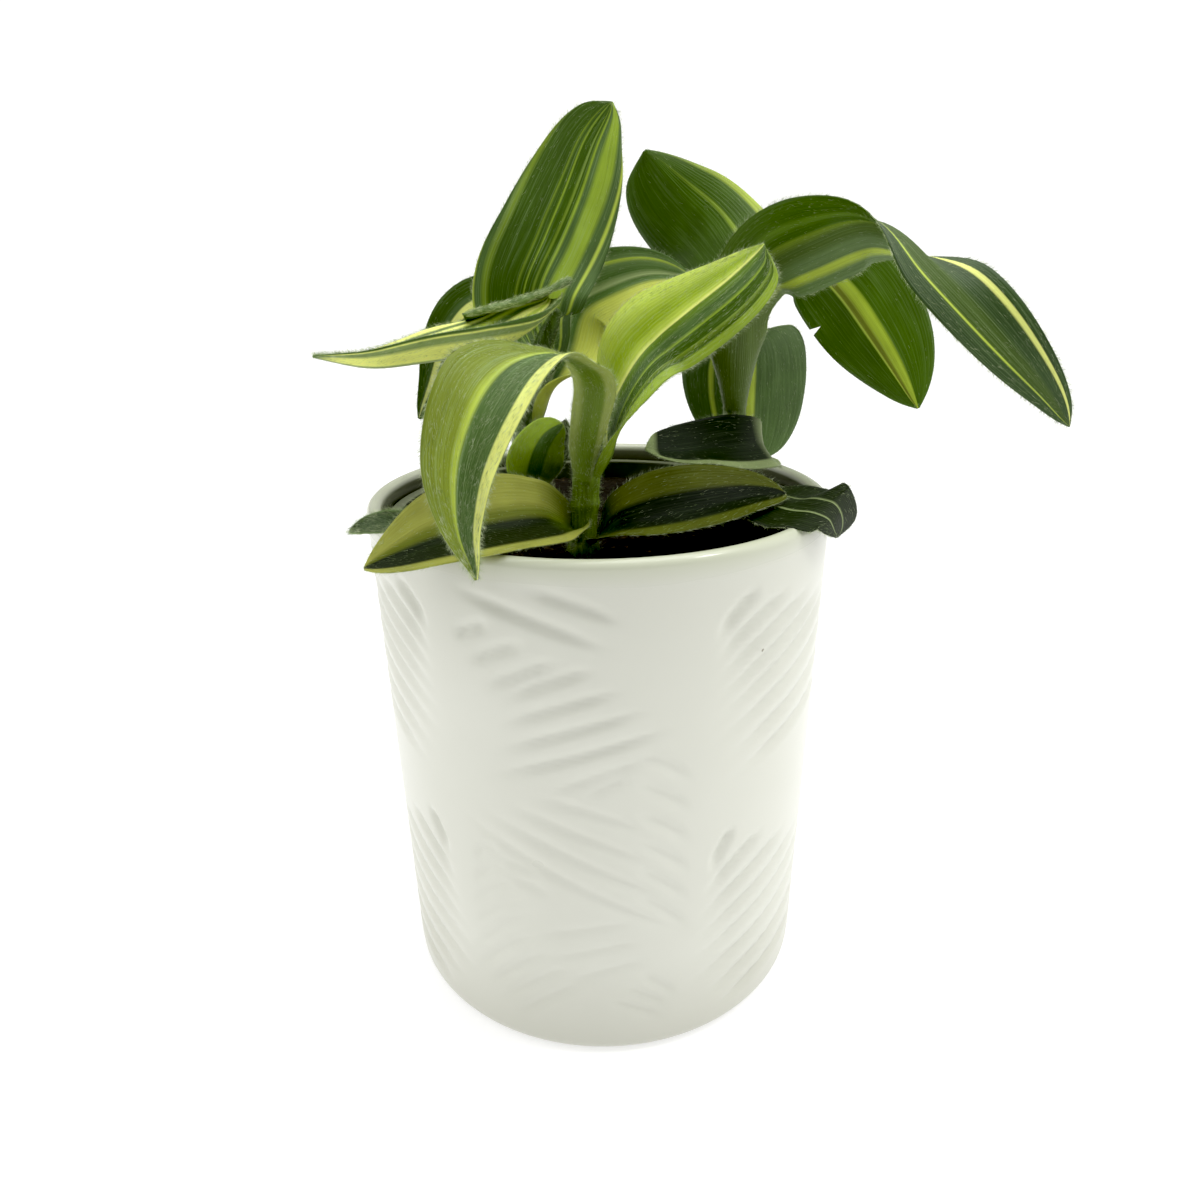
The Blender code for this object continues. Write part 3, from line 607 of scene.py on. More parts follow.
def tidy_normals(obj):
    pick(obj)
    bpy.ops.object.mode_set(mode="EDIT")
    bpy.ops.mesh.select_all(action="SELECT")
    bpy.ops.mesh.remove_doubles(threshold=0.00001)
    bpy.ops.mesh.normals_make_consistent(inside=False)
    bpy.ops.object.mode_set(mode="OBJECT")


def finish_solid(obj, skin, name, slot, *nodes):
    """Merges what is double in the piece's mesh, smooths it, gives it its skin and finishes it."""
    tidy_normals(obj)
    obj.data.shade_smooth()
    obj.data.materials.append(skin)
    finish(obj, name, slot, *nodes)


def bent_grid(points):
    """A grid bent so that its rows and columns are those of the points, and each vertex's column."""
    rows, columns = points.shape[:2]
    grid = bpy.ops.mesh.primitive_grid_add
    sheet = primitive(grid, x_subdivisions=columns - 1, y_subdivisions=rows - 1, size=1)
    flat = get_points(sheet.data)
    column = np.rint((flat[:, 0] + 0.5) * (columns - 1)).astype(int)
    row = np.rint((flat[:, 1] + 0.5) * (rows - 1)).astype(int)
    set_points(sheet.data, points[row, column])
    sheet.data.shade_smooth()
    return sheet, column


def thicken(sheet, thickness, **settings):
    """Gives the sheet its thickness, half to each side."""
    solid = sheet.modifiers.new("Thickness", "SOLIDIFY")
    solid.thickness = thickness * MM
    solid.offset = 0
    for key, value in settings.items():
        setattr(solid, key, value)
    pick(sheet)
    bpy.ops.object.modifier_apply(modifier=solid.name)


# Materials


class Nodes:
    """Adds and links nodes of a material's, a group's or the world's tree."""

    def __init__(self, tree):
        self.tree = tree

    def feed(self, sockets, values):
        """Links the values that are other nodes' outputs, and sets the rest on the sockets themselves."""
        for socket, value in values.items():
            if isinstance(value, bpy.types.NodeSocket):
                self.tree.links.new(value, sockets[socket])
            else:
                sockets[socket].default_value = value

    def add(self, kind, inputs=None, **settings):
        node = self.tree.nodes.new("ShaderNode" + kind)
        for key, value in settings.items():
            setattr(node, key, value)
        self.feed(node.inputs, inputs or {})
        return node

    def place(self):
        return self.add("TexCoord").outputs["Object"]

    def axes(self, vector):
        return self.add("SeparateXYZ", {0: vector}).outputs

    def math(self, operation, a, b=0.0, c=0.0):
        return self.add("Math", {0: a, 1: b, 2: c}, operation=operation).outputs[0]

    def fade(self, value, low, high, first=0.0, last=1.0):
        """From `first` where the value is low to `last` where it is high."""
        return self.add("MapRange", {0: value, 1: low, 2: high, 3: first, 4: last}).outputs[0]

    def blend(self, factor, a, b):
        return self.add("Mix", {0: factor, 6: a, 7: b}, data_type="RGBA").outputs[2]

    def darken(self, colour, value):
        """The colour times the value."""
        grey = self.add("CombineColor", {0: value, 1: value, 2: value}).outputs[0]
        return self.add("Mix", {0: 1.0, 6: colour, 7: grey}, data_type="RGBA", blend_type="MULTIPLY").outputs[2]

    def noise(self, vector, scale, detail=3.0, roughness=0.5):
        """Noise at one scale, or at a scale of its own for each axis."""
        if isinstance(scale, tuple):
            vector, scale = self.add("Mapping", {"Vector": vector, "Scale": scale}).outputs[0], 1.0
        values = {"Vector": vector, "Scale": scale, "Detail": detail, "Roughness": roughness}
        return self.add("TexNoise", values).outputs["Fac"]

    def ramp(self, factor, stops):
        node = self.add("ValToRGB", {0: factor})
        elements = node.color_ramp.elements
        elements.remove(elements[-1])
        elements[0].position, elements[0].color = stops[0]
        for place, colour in stops[1:]:
            elements.new(place).color = colour
        return node.outputs[0]

    def bump(self, height, strength, distance):
        return self.add("Bump", {"Height": height, "Strength": strength, "Distance": distance}).outputs[0]


def new_group(name, inputs, outputs):
    """A shader node group; inputs and outputs are its sockets' names with their kinds."""
    tree = bpy.data.node_groups.new(name, "ShaderNodeTree")
    for way, sockets in (("INPUT", inputs), ("OUTPUT", outputs)):
        for label, kind in sockets.items():
            tree.interface.new_socket(label, in_out=way, socket_type="NodeSocket" + kind)
    given, out = tree.nodes.new("NodeGroupInput"), tree.nodes.new("NodeGroupOutput")
    return Nodes(tree), given.outputs, out.inputs


def new_material(name, roughness=0.5, specular=0.5):
    """A material, its Principled shader's sockets and its nodes."""
    material = bpy.data.materials.new(name)
    material.use_nodes = True
    sockets = material.node_tree.nodes["Principled BSDF"].inputs
    nodes = Nodes(material.node_tree)
    nodes.feed(sockets, {"Roughness": roughness, "Specular IOR Level": specular})
    return material, sockets, nodes


def parallel_veins():
    """How a blade's veins run: from the sheath to the tip, and near the tip outwards to the margins."""
    nodes, given, out = new_group(
        "parallel_veins",
        {"Blade": "Vector", "Spread": "Float", "Wander": "Float", "Lean": "Float"},
        {"Across": "Float", "Streaks": "Float", "Ridges": "Float", "Patches": "Float"},
    )
    blade = given["Blade"]
    u, v, _ = nodes.axes(blade)
    shrink = nodes.math("MULTIPLY", nodes.math("POWER", v, 1.6), given["Spread"])
    narrowed = nodes.math("MULTIPLY", nodes.math("SUBTRACT", u, 0.5), nodes.math("SUBTRACT", 1.0, shrink))
    straight = nodes.math("ADD", narrowed, 0.5)
    leant = nodes.math("MULTIPLY_ADD", nodes.fade(v, 0.0, 0.5, 1.0, 0.0), given["Lean"], straight)
    drift = nodes.math("SUBTRACT", nodes.noise(blade, (5, 1.6, 1), 1.0), 0.5)
    across = nodes.math("MULTIPLY_ADD", drift, given["Wander"], leant)
    lined = nodes.add("CombineXYZ", {0: across, 1: v}).outputs[0]
    ribs = nodes.math("SINE", nodes.math("MULTIPLY", across, 190.0))
    nodes.feed(out, {
        "Across": across,
        "Streaks": nodes.noise(lined, (90, 3.0, 1), 4.0, 0.62),
        "Ridges": nodes.math("MULTIPLY_ADD", ribs, 0.25, nodes.noise(lined, (150, 6, 1), 2.0)),
        "Patches": nodes.noise(blade, (2.5, 5.0, 1)),
    })
    return nodes.tree


def leaf_tone():
    """Fine pale and dark streaks along the veins and slow changes of depth over a striped blade."""
    nodes, given, out = new_group(
        "leaf_tone",
        {"Colour": "Color", "Streaks": "Float", "Patches": "Float", "Pale streak": "Color", "Strength": "Float"},
        {"Colour": "Color"},
    )
    pale = nodes.math("MULTIPLY", nodes.fade(given["Streaks"], 0.52, 0.78), given["Strength"])
    paled = nodes.blend(pale, given["Colour"], given["Pale streak"])
    lined = nodes.darken(paled, nodes.fade(given["Streaks"], 0.25, 0.5, 0.72, 1.0))
    nodes.feed(out, {"Colour": nodes.darken(lined, nodes.fade(given["Patches"], 0.3, 0.7, 0.82, 1.12))})
    return nodes.tree


VEINS, TONE = parallel_veins(), leaf_tone()


def dimmed(colour, share):
    return tuple(share * value for value in colour[:3]) + (1.0,)


def band_stops(bands, painted_light):
    """Colour-ramp stops for bands given as (where the band ends, its colour, how soft its end is), each colour scaled
    by a factor that paints light or shade onto the blade.
    """
    stops = []
    start, soft_start = 0.0, 0.0
    for end, colour, *softness in bands:
        soft_end = softness[0] if softness else 0.008
        tint = dimmed(GREENS[colour], painted_light)
        stops.append((start + soft_start, tint))
        if end - soft_end > start + soft_start + 0.001:
            stops.append((end - soft_end if end < 1 else 1.0, tint))
        start, soft_start = end, soft_end
    return stops


def leaf_skin(leaf, side, bands, look, streaks):
    """Stripes along the veins, which run out into a plain green near the sheath and on some blades at the tip."""
    material, shader, nodes = new_material(leaf + "-" + side, specular=look.get("gloss", 0.22))
    blade = nodes.add("UVMap", uv_map="UVMap").outputs[0]
    vein = nodes.add("Group", node_tree=VEINS, inputs={
        "Blade": blade, "Spread": look.get("spread", 0.0), "Wander": look.get("wander", 0.03),
        "Lean": look.get("lean", 0.0)}).outputs
    # painted light and shade: the blade's colours are scaled darker where it sits in shade and brighter where it
    # faces away from the lamps
    painted_light = look.get("painted_light", 1.0)
    height = nodes.axes(blade)[1]
    plain, first, last, most = look.get("sheath", (None, 0.02, 0.16, 0.75))
    green = GREENS[plain] if plain else paint(*STEMS[LEAVES[leaf]["stem"]]["green"])
    stripes = nodes.ramp(vein["Across"], band_stops(bands, painted_light))
    stripes = nodes.blend(nodes.fade(height, first, last, most, 0.0), stripes, dimmed(green, painted_light))
    if "tip" in look:
        plain, first, last = look["tip"]
        stripes = nodes.blend(nodes.fade(height, first, last), stripes, dimmed(GREENS[plain], painted_light))
    toned = nodes.add("Group", node_tree=TONE, inputs={
        "Colour": stripes, "Streaks": vein["Streaks"], "Patches": vein["Patches"],
        "Pale streak": HAIR_STREAK, "Strength": streaks}).outputs[0]
    nodes.feed(shader, {
        "Base Color": toned,
        "Roughness": nodes.fade(vein["Patches"], 0.3, 0.7, 0.38, 0.52),
        "Normal": nodes.bump(vein["Ridges"], 0.25, 0.0003),
    })
    return material


def shoot_skin(name):
    """Fine fibres along the shoot, in darker and lighter patches of its green."""
    material, shader, nodes = new_material(name + "_skin", specular=0.25)
    place = nodes.place()
    fibre = nodes.noise(place, (1500, 1500, 70), 4.0, 0.65)
    green = paint(*STEMS[name]["green"])
    light = tuple(min(1.0, 1.7 * value) for value in green[:3]) + (1.0,)
    colour = nodes.ramp(fibre, [(0.3, dimmed(green, 0.55)), (0.5, green), (0.72, light)])
    patches = nodes.fade(nodes.noise(place, 120.0, 2.0), 0.3, 0.7, 0.75, 1.15)
    nodes.feed(shader, {"Base Color": nodes.darken(colour, patches), "Normal": nodes.bump(fibre, 0.35, 0.0003)})
    return material


def hair_skin():
    material, shader, nodes = new_material("silvery_hair", specular=0.3)
    patches = nodes.noise(nodes.place(), 700.0, 1.0)
    colour = nodes.ramp(patches, [(0.35, paint(120, 142, 84)), (0.65, paint(206, 216, 176))])
    nodes.feed(shader, {"Base Color": colour})
    return material


def glaze():
    """White glaze with rare specks, and painted light: a painted green reflection of the leaves over the lip, painted
    shade that makes it greyer below the lip and at the foot, and dusky painted shade inside.
    """
    material, shader, nodes = new_material("white_glaze")
    place = nodes.place()
    x, y, z = nodes.axes(place)
    cloud = nodes.noise(place, 18.0)
    specks = nodes.add("TexVoronoi", {"Vector": place, "Scale": 95.0}).outputs["Distance"]
    rare = nodes.math("GREATER_THAN", nodes.noise(place, 60.0, 0.0), 0.66)
    drop = nodes.math("SUBTRACT", POT_HEIGHT * MM, z)
    rim = nodes.fade(drop, 0.0, 0.006, 0.8, 0.0)
    away = nodes.math("SQRT", nodes.math("MULTIPLY_ADD", x, x, nodes.math("MULTIPLY", y, y)))
    middle = nodes.math("MULTIPLY_ADD", drop, -WALL_SLOPE, (RIM_RADIUS - WALL / 2) * MM)
    inside = nodes.fade(nodes.math("SUBTRACT", middle, away), 0.0, 0.0012)
    # painted shade on the inner wall: darker the further down it goes
    dusk = nodes.ramp(nodes.math("MULTIPLY", drop, 150.0), [(0.1, paint(120, 124, 100)), (0.7, paint(56, 58, 40))])
    colour = nodes.ramp(cloud, [(0.0, paint(214, 215, 203)), (1.0, paint(225, 226, 216))])
    for mask, tint in (
        (nodes.math("MULTIPLY", nodes.fade(specks, 0.03, 0.05, 1.0, 0.0), rare), paint(120, 110, 90)),
        # painted reflection: the leaves' green light over the lip
        (rim, paint(186, 194, 158)),
        # painted shade: a greyer band below the lip, where the lip and the leaves keep light off
        (nodes.fade(drop, 0.0, 0.04, 0.4, 0.0), paint(192, 193, 180)),
        # painted shade: a greyer band at the foot, where less light reaches the wall
        (nodes.fade(z, 0.0, 0.03, 0.7, 0.0), paint(194, 194, 180)),
        # painted shade inside the pot
        (nodes.math("MULTIPLY", inside, nodes.fade(drop, 0.0006, 0.002)), dusk),
    ):
        colour = nodes.blend(mask, colour, tint)
    nodes.feed(shader, {
        "Base Color": colour,
        "Roughness": nodes.math("MULTIPLY_ADD", rim, -0.18, nodes.math("MULTIPLY_ADD", cloud, 0.1, 0.24)),
        "Normal": nodes.bump(nodes.noise(place, 500.0, 2.0), 0.05, 0.0001),
    })
    return material


def nursery_plastic():
    """Dark green plastic, paler along its cut edge."""
    material, shader, nodes = new_material("nursery_plastic", 0.45)
    place = nodes.place()
    colour = nodes.ramp(nodes.noise(place, 60.0, 4.0), [(0.3, paint(46, 53, 37)), (0.7, paint(66, 74, 54))])
    edge = nodes.fade(nodes.axes(place)[2], (GROW_TOP - 0.5) * MM, (GROW_TOP - 0.2) * MM)
    nodes.feed(shader, {
        "Base Color": nodes.blend(edge, colour, paint(104, 110, 84)),
        "Normal": nodes.bump(nodes.noise(place, 900.0, 2.0), 0.2, 0.0003),
    })
    return material


def earth():
    material, shader, nodes = new_material("moist_soil", 0.9, 0.1)
    grain = nodes.noise(nodes.place(), 420.0, 6.0, 0.7)
    colour = nodes.ramp(grain, [(0.3, paint(18, 16, 12)), (0.6, paint(34, 30, 22)), (0.8, paint(112, 94, 66))])
    nodes.feed(shader, {"Base Color": colour, "Normal": nodes.bump(grain, 0.7, 0.0008)})
    return material


# Pot and soil


def frond_strokes():
    """Every stroke of the relief as points of (degrees, height), with how hard it is pressed."""
    for centre, kind, side in PANELS:
        home, bundles = FRONDS[kind]
        for first, last, count, bow, strength in bundles:
            for share in np.linspace(0, 1, count):
                ends = np.array(first) * (1 - share) + np.array(last) * share
                t = np.linspace(0, 1, STROKE_POINTS)[:, None]
                line = ends[:2] + (ends[2:] - ends[:2]) * (t * (1 + 2 * STROKE_OVERRUN) - STROKE_OVERRUN)
                line[:, 1] += (4 * t * (1 - t) * bow)[:, 0]
                line[:, 0] = centre + side * (line[:, 0] - home)
                yield line, strength


def relief_depth(degrees, height):
    """How deep the relief is at those places on the wall, as a share of RELIEF_DEPTH."""
    depth = np.zeros(len(degrees))
    around = np.radians(1) * (RIM_RADIUS + FOOT_RADIUS) / 2
    for line, strength in frond_strokes():
        centre = line[:, 0].mean()
        turn = (degrees - centre + 180) % 360 - 180
        reach = (line[:, 0].max() - line[:, 0].min()) / 2 + 4
        near = (abs(turn) < reach) & (height > line[:, 1].min() - 4) & (height < line[:, 1].max() + 4)
        place = np.stack([turn[near] * around, height[near]], axis=1)
        knots = np.stack([(line[:, 0] - centre) * around, line[:, 1]], axis=1)
        best = np.full(len(place), 1e9)
        along = np.zeros(len(place))
        for index, (a, b) in enumerate(zip(knots, knots[1:])):
            way = b - a
            share = np.clip(((place - a) @ way) / (way @ way), 0, 1)
            gap = np.linalg.norm(place - a - share[:, None] * way, axis=1)
            closer = gap < best
            best[closer] = gap[closer]
            along[closer] = (index + share[closer]) / (len(knots) - 1)
        taper = smooth_step(along, 0, 0.34) * (1 - smooth_step(along, 0.66, 1))
        length = np.linalg.norm(knots[-1] - knots[0])
        width = min(STROKE_WIDTH, STROKE_SLIMNESS * length) / 2 * (0.7 + 0.3 * taper)
        groove = np.cos(np.clip(best / width, 0, 1) * np.pi / 2) ** 2 * taper * strength
        deeper, shallower = np.maximum(depth[near], groove), np.minimum(depth[near], groove)
        depth[near] = deeper + shallower * (1 - deeper).clip(0)
    return depth


def arc(centre_r, centre_z, radius, start, end, count):
    angles = np.radians(np.linspace(start, end, count))
    return [(centre_r + radius * np.cos(a), centre_z + radius * np.sin(a)) for a in angles]


def close_with_rings(obj, here, rings):
    """Extrudes the open ring at `here`, a (radius, height), from ring to ring and closes the last one."""
    select_edges(obj, lambda edge: edge.is_boundary and all(
        abs(v.co.z / MM - here[1]) < 0.01 and abs(v.co.xy.length / MM - here[0]) < 0.05 for v in edge.verts
    ))
    for there in rings:
        bpy.ops.mesh.extrude_region_move()
        scale = there[0] / here[0]
        bpy.ops.transform.resize(value=(scale, scale, 1), center_override=(0, 0, 0))
        bpy.ops.transform.translate(value=(0, 0, (there[1] - here[1]) * MM))
        here = there
    bpy.ops.mesh.merge(type="CENTER")


def build_pot():
    """A tube where the relief is, closed upwards over the lip to the inner floor, and downwards over the foot."""
    lip = WALL / 2
    low, high = FOOT_ROUND + 2, POT_HEIGHT - 6
    inner_rim = RIM_RADIUS - WALL
    inner_foot = inner_rim - WALL_SLOPE * (POT_HEIGHT - FLOOR)

    def wall(height):
        return RIM_RADIUS - WALL_SLOPE * (POT_HEIGHT - height)

    pot = primitive(
        bpy.ops.mesh.primitive_cylinder_add, vertices=POT_STEPS, radius=wall(low) * MM, depth=(high - low) * MM,
        end_fill_type="NOTHING", location=(0, 0, (low + high) / 2 * MM),
    )
    bpy.ops.object.mode_set(mode="EDIT")
    close_with_rings(pot, (wall(low), high), [
        (wall(high), high), (wall(POT_HEIGHT - 4), POT_HEIGHT - 4),
        *arc(RIM_RADIUS - lip, POT_HEIGHT - lip, lip, 0, 180, 11),
        (inner_rim - 0.02, POT_HEIGHT - 5), (inner_rim - 0.2, POT_HEIGHT - 15),
        *[(inner_foot + WALL_SLOPE * rise, FLOOR + rise) for rise in (90, 50, 12)],
        *arc(inner_foot - INNER_ROUND, FLOOR + INNER_ROUND, INNER_ROUND, 0, -90, 6),
        (inner_foot / 2, FLOOR), (8, FLOOR),
    ])
    close_with_rings(pot, (wall(low), low), [
        *arc(FOOT_RADIUS - FOOT_ROUND, FOOT_ROUND, FOOT_ROUND, 0, -90, 8),
        (FOOT_RADIUS * 0.6, 0), (10, 0),
    ])
    # The wall between the two rings is cut into rows that are fine enough for the relief.
    tall = (high - low - 0.02) * MM
    select_edges(pot, lambda edge: abs(edge.verts[0].co.z - edge.verts[1].co.z) > tall)
    bpy.ops.mesh.subdivide(number_cuts=RELIEF_ROWS - 1)
    bpy.ops.object.mode_set(mode="OBJECT")
    points = get_points(pot.data) / MM
    radius = np.hypot(points[:, 0], points[:, 1])
    height = points[:, 2]
    outer = (height >= low - 0.01) & (height <= high + 0.01) & (radius > inner_rim + 0.5)
    degrees = np.degrees(np.arctan2(points[outer, 0], -points[outer, 1]))
    depth = RELIEF_DEPTH * relief_depth(degrees, height[outer])
    points[outer, :2] *= ((wall(height[outer]) - depth) / radius[outer])[:, None]
    set_points(pot.data, points)
    finish_solid(pot, glaze(), "glazed_pot", "white_glaze", "ceramic_pot")


def build_soil():
    """A round bed of soil with a crumbly top, which narrows down to the floor of the grow pot."""
    grid = bpy.ops.mesh.primitive_grid_add
    soil = primitive(grid, x_subdivisions=SOIL_CELLS, y_subdivisions=SOIL_CELLS, size=2)
    x, y, _ = get_points(soil.data).T
    disc = np.stack([x * np.sqrt(1 - y * y / 2), y * np.sqrt(1 - x * x / 2)], axis=1) * SOIL_RADIUS
    (lumps, lump_height), (bits, bit_height) = SOIL_LUMPS, SOIL_BITS
    height = np.array([
        noise.fractal(Vector((px * lumps, py * lumps, 3.1)), 1.0, 2.0, 5) * lump_height
        + abs(noise.noise(Vector((px * bits, py * bits, 7.7)))) * bit_height
        for px, py in disc
    ])
    height *= 1 - smooth_step(np.linalg.norm(disc, axis=1), SOIL_RADIUS - 3, SOIL_RADIUS)
    set_points(soil.data, np.column_stack([disc, SOIL_TOP - SOIL_DIP + height]))
    bpy.ops.object.mode_set(mode="EDIT")
    bpy.ops.mesh.select_mode(type="EDGE")
    bpy.ops.mesh.select_all(action="SELECT")
    bpy.ops.mesh.region_to_loop()
    for scale, drop in (
        (SOIL_WAIST, -SOIL_WAIST_DEPTH),
        (SOIL_FOOT_RADIUS / SOIL_RADIUS / SOIL_WAIST, SOIL_FOOT - SOIL_TOP + SOIL_WAIST_DEPTH + SOIL_DIP),
    ):
        bpy.ops.mesh.extrude_region_move()
        bpy.ops.transform.translate(value=(0, 0, drop * MM))
        bpy.ops.transform.resize(value=(scale, scale, 1), center_override=(0, 0, 0))
    bpy.ops.mesh.edge_face_add()
    bpy.ops.object.mode_set(mode="OBJECT")
    finish_solid(soil, earth(), "soil_bed", "soil", "soil")


# Shoots and leaves


def tube_of_rings(rings, sides):
    """A closed tube along z of that many rings, one unit wide and one unit high."""
    tube = primitive(
        bpy.ops.mesh.primitive_cylinder_add, vertices=sides, radius=1, depth=1, end_fill_type="TRIFAN",
        location=(0, 0, 0.5),
    )
    bpy.ops.object.mode_set(mode="EDIT")
    select_edges(tube, lambda edge: abs(edge.verts[0].co.z - edge.verts[1].co.z) > 0.5)
    bpy.ops.mesh.subdivide(number_cuts=rings - 2)
    bpy.ops.object.mode_set(mode="OBJECT")
    return tube


def build_shoot(name):
    """A tube from the soil up to the rounded tip, wider at its nodes, and the hairs on it."""
    stem = STEMS[name]
    levels, wider = np.array(stem["outline"], float).T
    heights = np.linspace(levels[0], levels[-1], SHOOT_ROWS)
    radii = stem["radius"] + np.interp(heights, levels, wider)
    shoot = tube_of_rings(SHOOT_ROWS, SHOOT_SIDES)
    flat = get_points(shoot.data)
    row = np.rint(flat[:, 2] * (SHOOT_ROWS - 1)).astype(int)
    placed = np.empty_like(flat)
    for index, (turn, level) in enumerate(zip(flat[:, :2], row)):
        axis = stem_axis(name, heights[level])
        lobes = 1 + 0.03 * np.sin(3 * np.arctan2(turn[1], turn[0]) + heights[level] * 0.15)
        placed[index] = [*(axis[:2] + turn * radii[level] * lobes), heights[level]]
    centre = np.linalg.norm(flat[:, :2], axis=1) < 0.01
    placed[centre & (flat[:, 2] > 0.5), 2] += 0.9 * radii[-1]
    set_points(shoot.data, placed)
    finish_solid(shoot, shoot_skin(name), name.replace("stem_", "shoot_"), CAD_SLOTS[name], name)
    rng = np.random.default_rng(len(name))
    level = heights[0] + 9.5 + (heights[-1] - heights[0] - 10) * rng.uniform(0, 1, SHOOT_HAIRS) ** 1.2
    turn = rng.uniform(0, 2 * np.pi, SHOOT_HAIRS)
    out = np.stack([np.cos(turn), np.sin(turn), np.zeros(SHOOT_HAIRS)], axis=1)
    line = np.array([stem_axis(name, height) for height in level])
    roots = line + out * np.interp(level, heights, radii)[:, None]
    ways = out + rng.normal(0, 0.3, out.shape) + [0, 0, 0.35]
    add_hairs("hairs_on_" + name, CAD_SLOTS[name], roots, ways, rng)


def hug_stem(points, leaf):
    """Draws the lowest rows of a sheath in to the stem that they grow out of."""
    share = np.linspace(0, 1, len(points))
    hugged = STEMS[leaf["stem"]]["radius"] - 0.2
    for row in np.flatnonzero(share < SHEATH_SHARE):
        free = smooth_step(share[row], 0, SHEATH_SHARE)
        for point in points[row]:
            axis = stem_axis(leaf["stem"], point[2])
            away = point - axis
            radius = np.linalg.norm(away)
            point[:] = axis + away / radius * (free * radius + (1 - free) * hugged)
    return points


def build_leaf(name):
    """A grid bent into the blade, thick along the middle and thin at its margins; it gives back its points."""
    leaf, look = LEAVES[name], LOOKS[name]
    points = hug_stem(blade_points(leaf), leaf)
    points = np.clip(points, CAD_LOW + BLADE_ROOM, CAD_HIGH - BLADE_ROOM)
    for _ in range(4):
        points[1:-1] = (points[:-2] + 2 * points[1:-1] + points[2:]) / 4
    if name == NOTCH_LEAF:
        bite = points[NOTCH_ROW, 3] - points[NOTCH_ROW, 0]
        points[NOTCH_ROW, :3] += bite * np.array(NOTCH_BITES)[:, None]
    blade, columns = bent_grid(points)
    middle = blade.vertex_groups.new(name="thick middle")
    for index, column in enumerate(columns):
        middle.add([index], float(1 - abs(2 * column / (LEAF_COLUMNS - 1) - 1) ** 3), "REPLACE")
    under = look.get("under", look["upper"])
    blade.data.materials.append(leaf_skin(name, "upper", look["upper"], look, look.get("streaks", 0.5)))
    blade.data.materials.append(leaf_skin(name, "underside", under, look, 0.25))
    thicken(blade, LEAF_THICKNESS, vertex_group=middle.name, thickness_vertex_group=THIN_MARGIN,
            material_offset=1, material_offset_rim=1)
    finish(blade, name.replace("leaf_", "blade_"), CAD_SLOTS[name], name)
    return points


def build_hem(blade):
    """A wedge of leaf that rises from the blade's margin and ends in a roll of about three quarters of a turn."""
    line = even_rows(smooth_line(HEM), HEM_ROWS)
    margin = even_rows(blade[: round(len(blade) * HEM_SHARE), -1][::-1], HEM_ROWS)
    ahead = unit(np.gradient(line, axis=0))
    rise = unit(line - margin)
    near = unit(np.cross(rise, ahead))
    near *= np.sign(-near[:, 1:2])
    share = np.linspace(0, 1, HEM_ROWS)
    radius = (0.3 + 0.4 * smooth_step(share, 0, 0.3)) * (1 + 0.25 * np.sin(share * 21) * np.sin(share * 9))
    radius = radius[:, None]
    grid = np.empty((HEM_ROWS, HEM_COLUMNS, 3))
    for column in range(HEM_COLUMNS):
        if column < HEM_FLAT:
            grid[:, column] = margin + (line - rise * radius - margin) * (column / HEM_FLAT)
        else:
            turn = np.radians(-90 + 290 * (column - HEM_FLAT) / (HEM_COLUMNS - 1 - HEM_FLAT))
            grid[:, column] = line + radius * (rise * np.sin(turn) + near * np.cos(turn))
    hem, _ = bent_grid(grid)
    thicken(hem, HEM_THICKNESS)
    bands = [(0.3, "forest", 0.08), (0.6, "slate", 0.1), (1, "mist")]
    hem.data.materials.append(leaf_skin(HEM_LEAF, "hem", bands, dict(sheath=(None, 0.0, 0.01, 0.0)), 0.5))
    finish(hem, "hem_left_folded", CAD_SLOTS[HEM_LEAF])
    blade_hairs("hairs_hem_left_folded", CAD_SLOTS[HEM_LEAF], grid[:, HEM_FLAT:], (1500, 1500, 6.0), 99)


# Hairs


def hair_shape():
    """One hair, one unit high and one in radius, as points and triangles."""
    cone = bpy.ops.mesh.primitive_cone_add
    hair = primitive(cone, vertices=3, radius1=1, radius2=0, depth=1, location=(0, 0, 0.5))
    points = get_points(hair.data)
    faces = np.array([list(face.vertices) for face in hair.data.polygons])
    bpy.data.objects.remove(hair)
    return points, faces


HAIR, HAIR_SKIN = hair_shape(), hair_skin()


def add_hairs(name, slot, roots, ways, rng):
    """Copies of the one hair at the roots, each pointing its own way, as one mesh inside the solids' bounds."""
    points, faces = HAIR
    ways = unit(ways)
    side = unit(np.cross(ways, rng.normal(size=ways.shape)))
    other = np.cross(ways, side)
    tall = rng.uniform(*HAIR_LENGTH, len(roots))[:, None, None]
    thick = rng.uniform(*HAIR_RADIUS, len(roots))[:, None, None]
    around = side[:, None] * points[None, :, 0:1] + other[:, None] * points[None, :, 1:2]
    placed = roots[:, None] + around * thick + ways[:, None] * points[None, :, 2:3] * tall
    placed = placed[((placed >= CAD_LOW) & (placed <= CAD_HIGH)).all(axis=(1, 2))]
    listed = faces[None] + len(points) * np.arange(len(placed))[:, None, None]
    mesh = bpy.data.meshes.new(name)
    mesh.from_pydata((placed.reshape(-1, 3) * MM).tolist(), [], listed.reshape(-1, 3).tolist())
    mesh.materials.append(HAIR_SKIN)
    hairs = bpy.data.objects.new(name, mesh)
    bpy.context.scene.collection.objects.link(hairs)
    finish(hairs, name, slot)


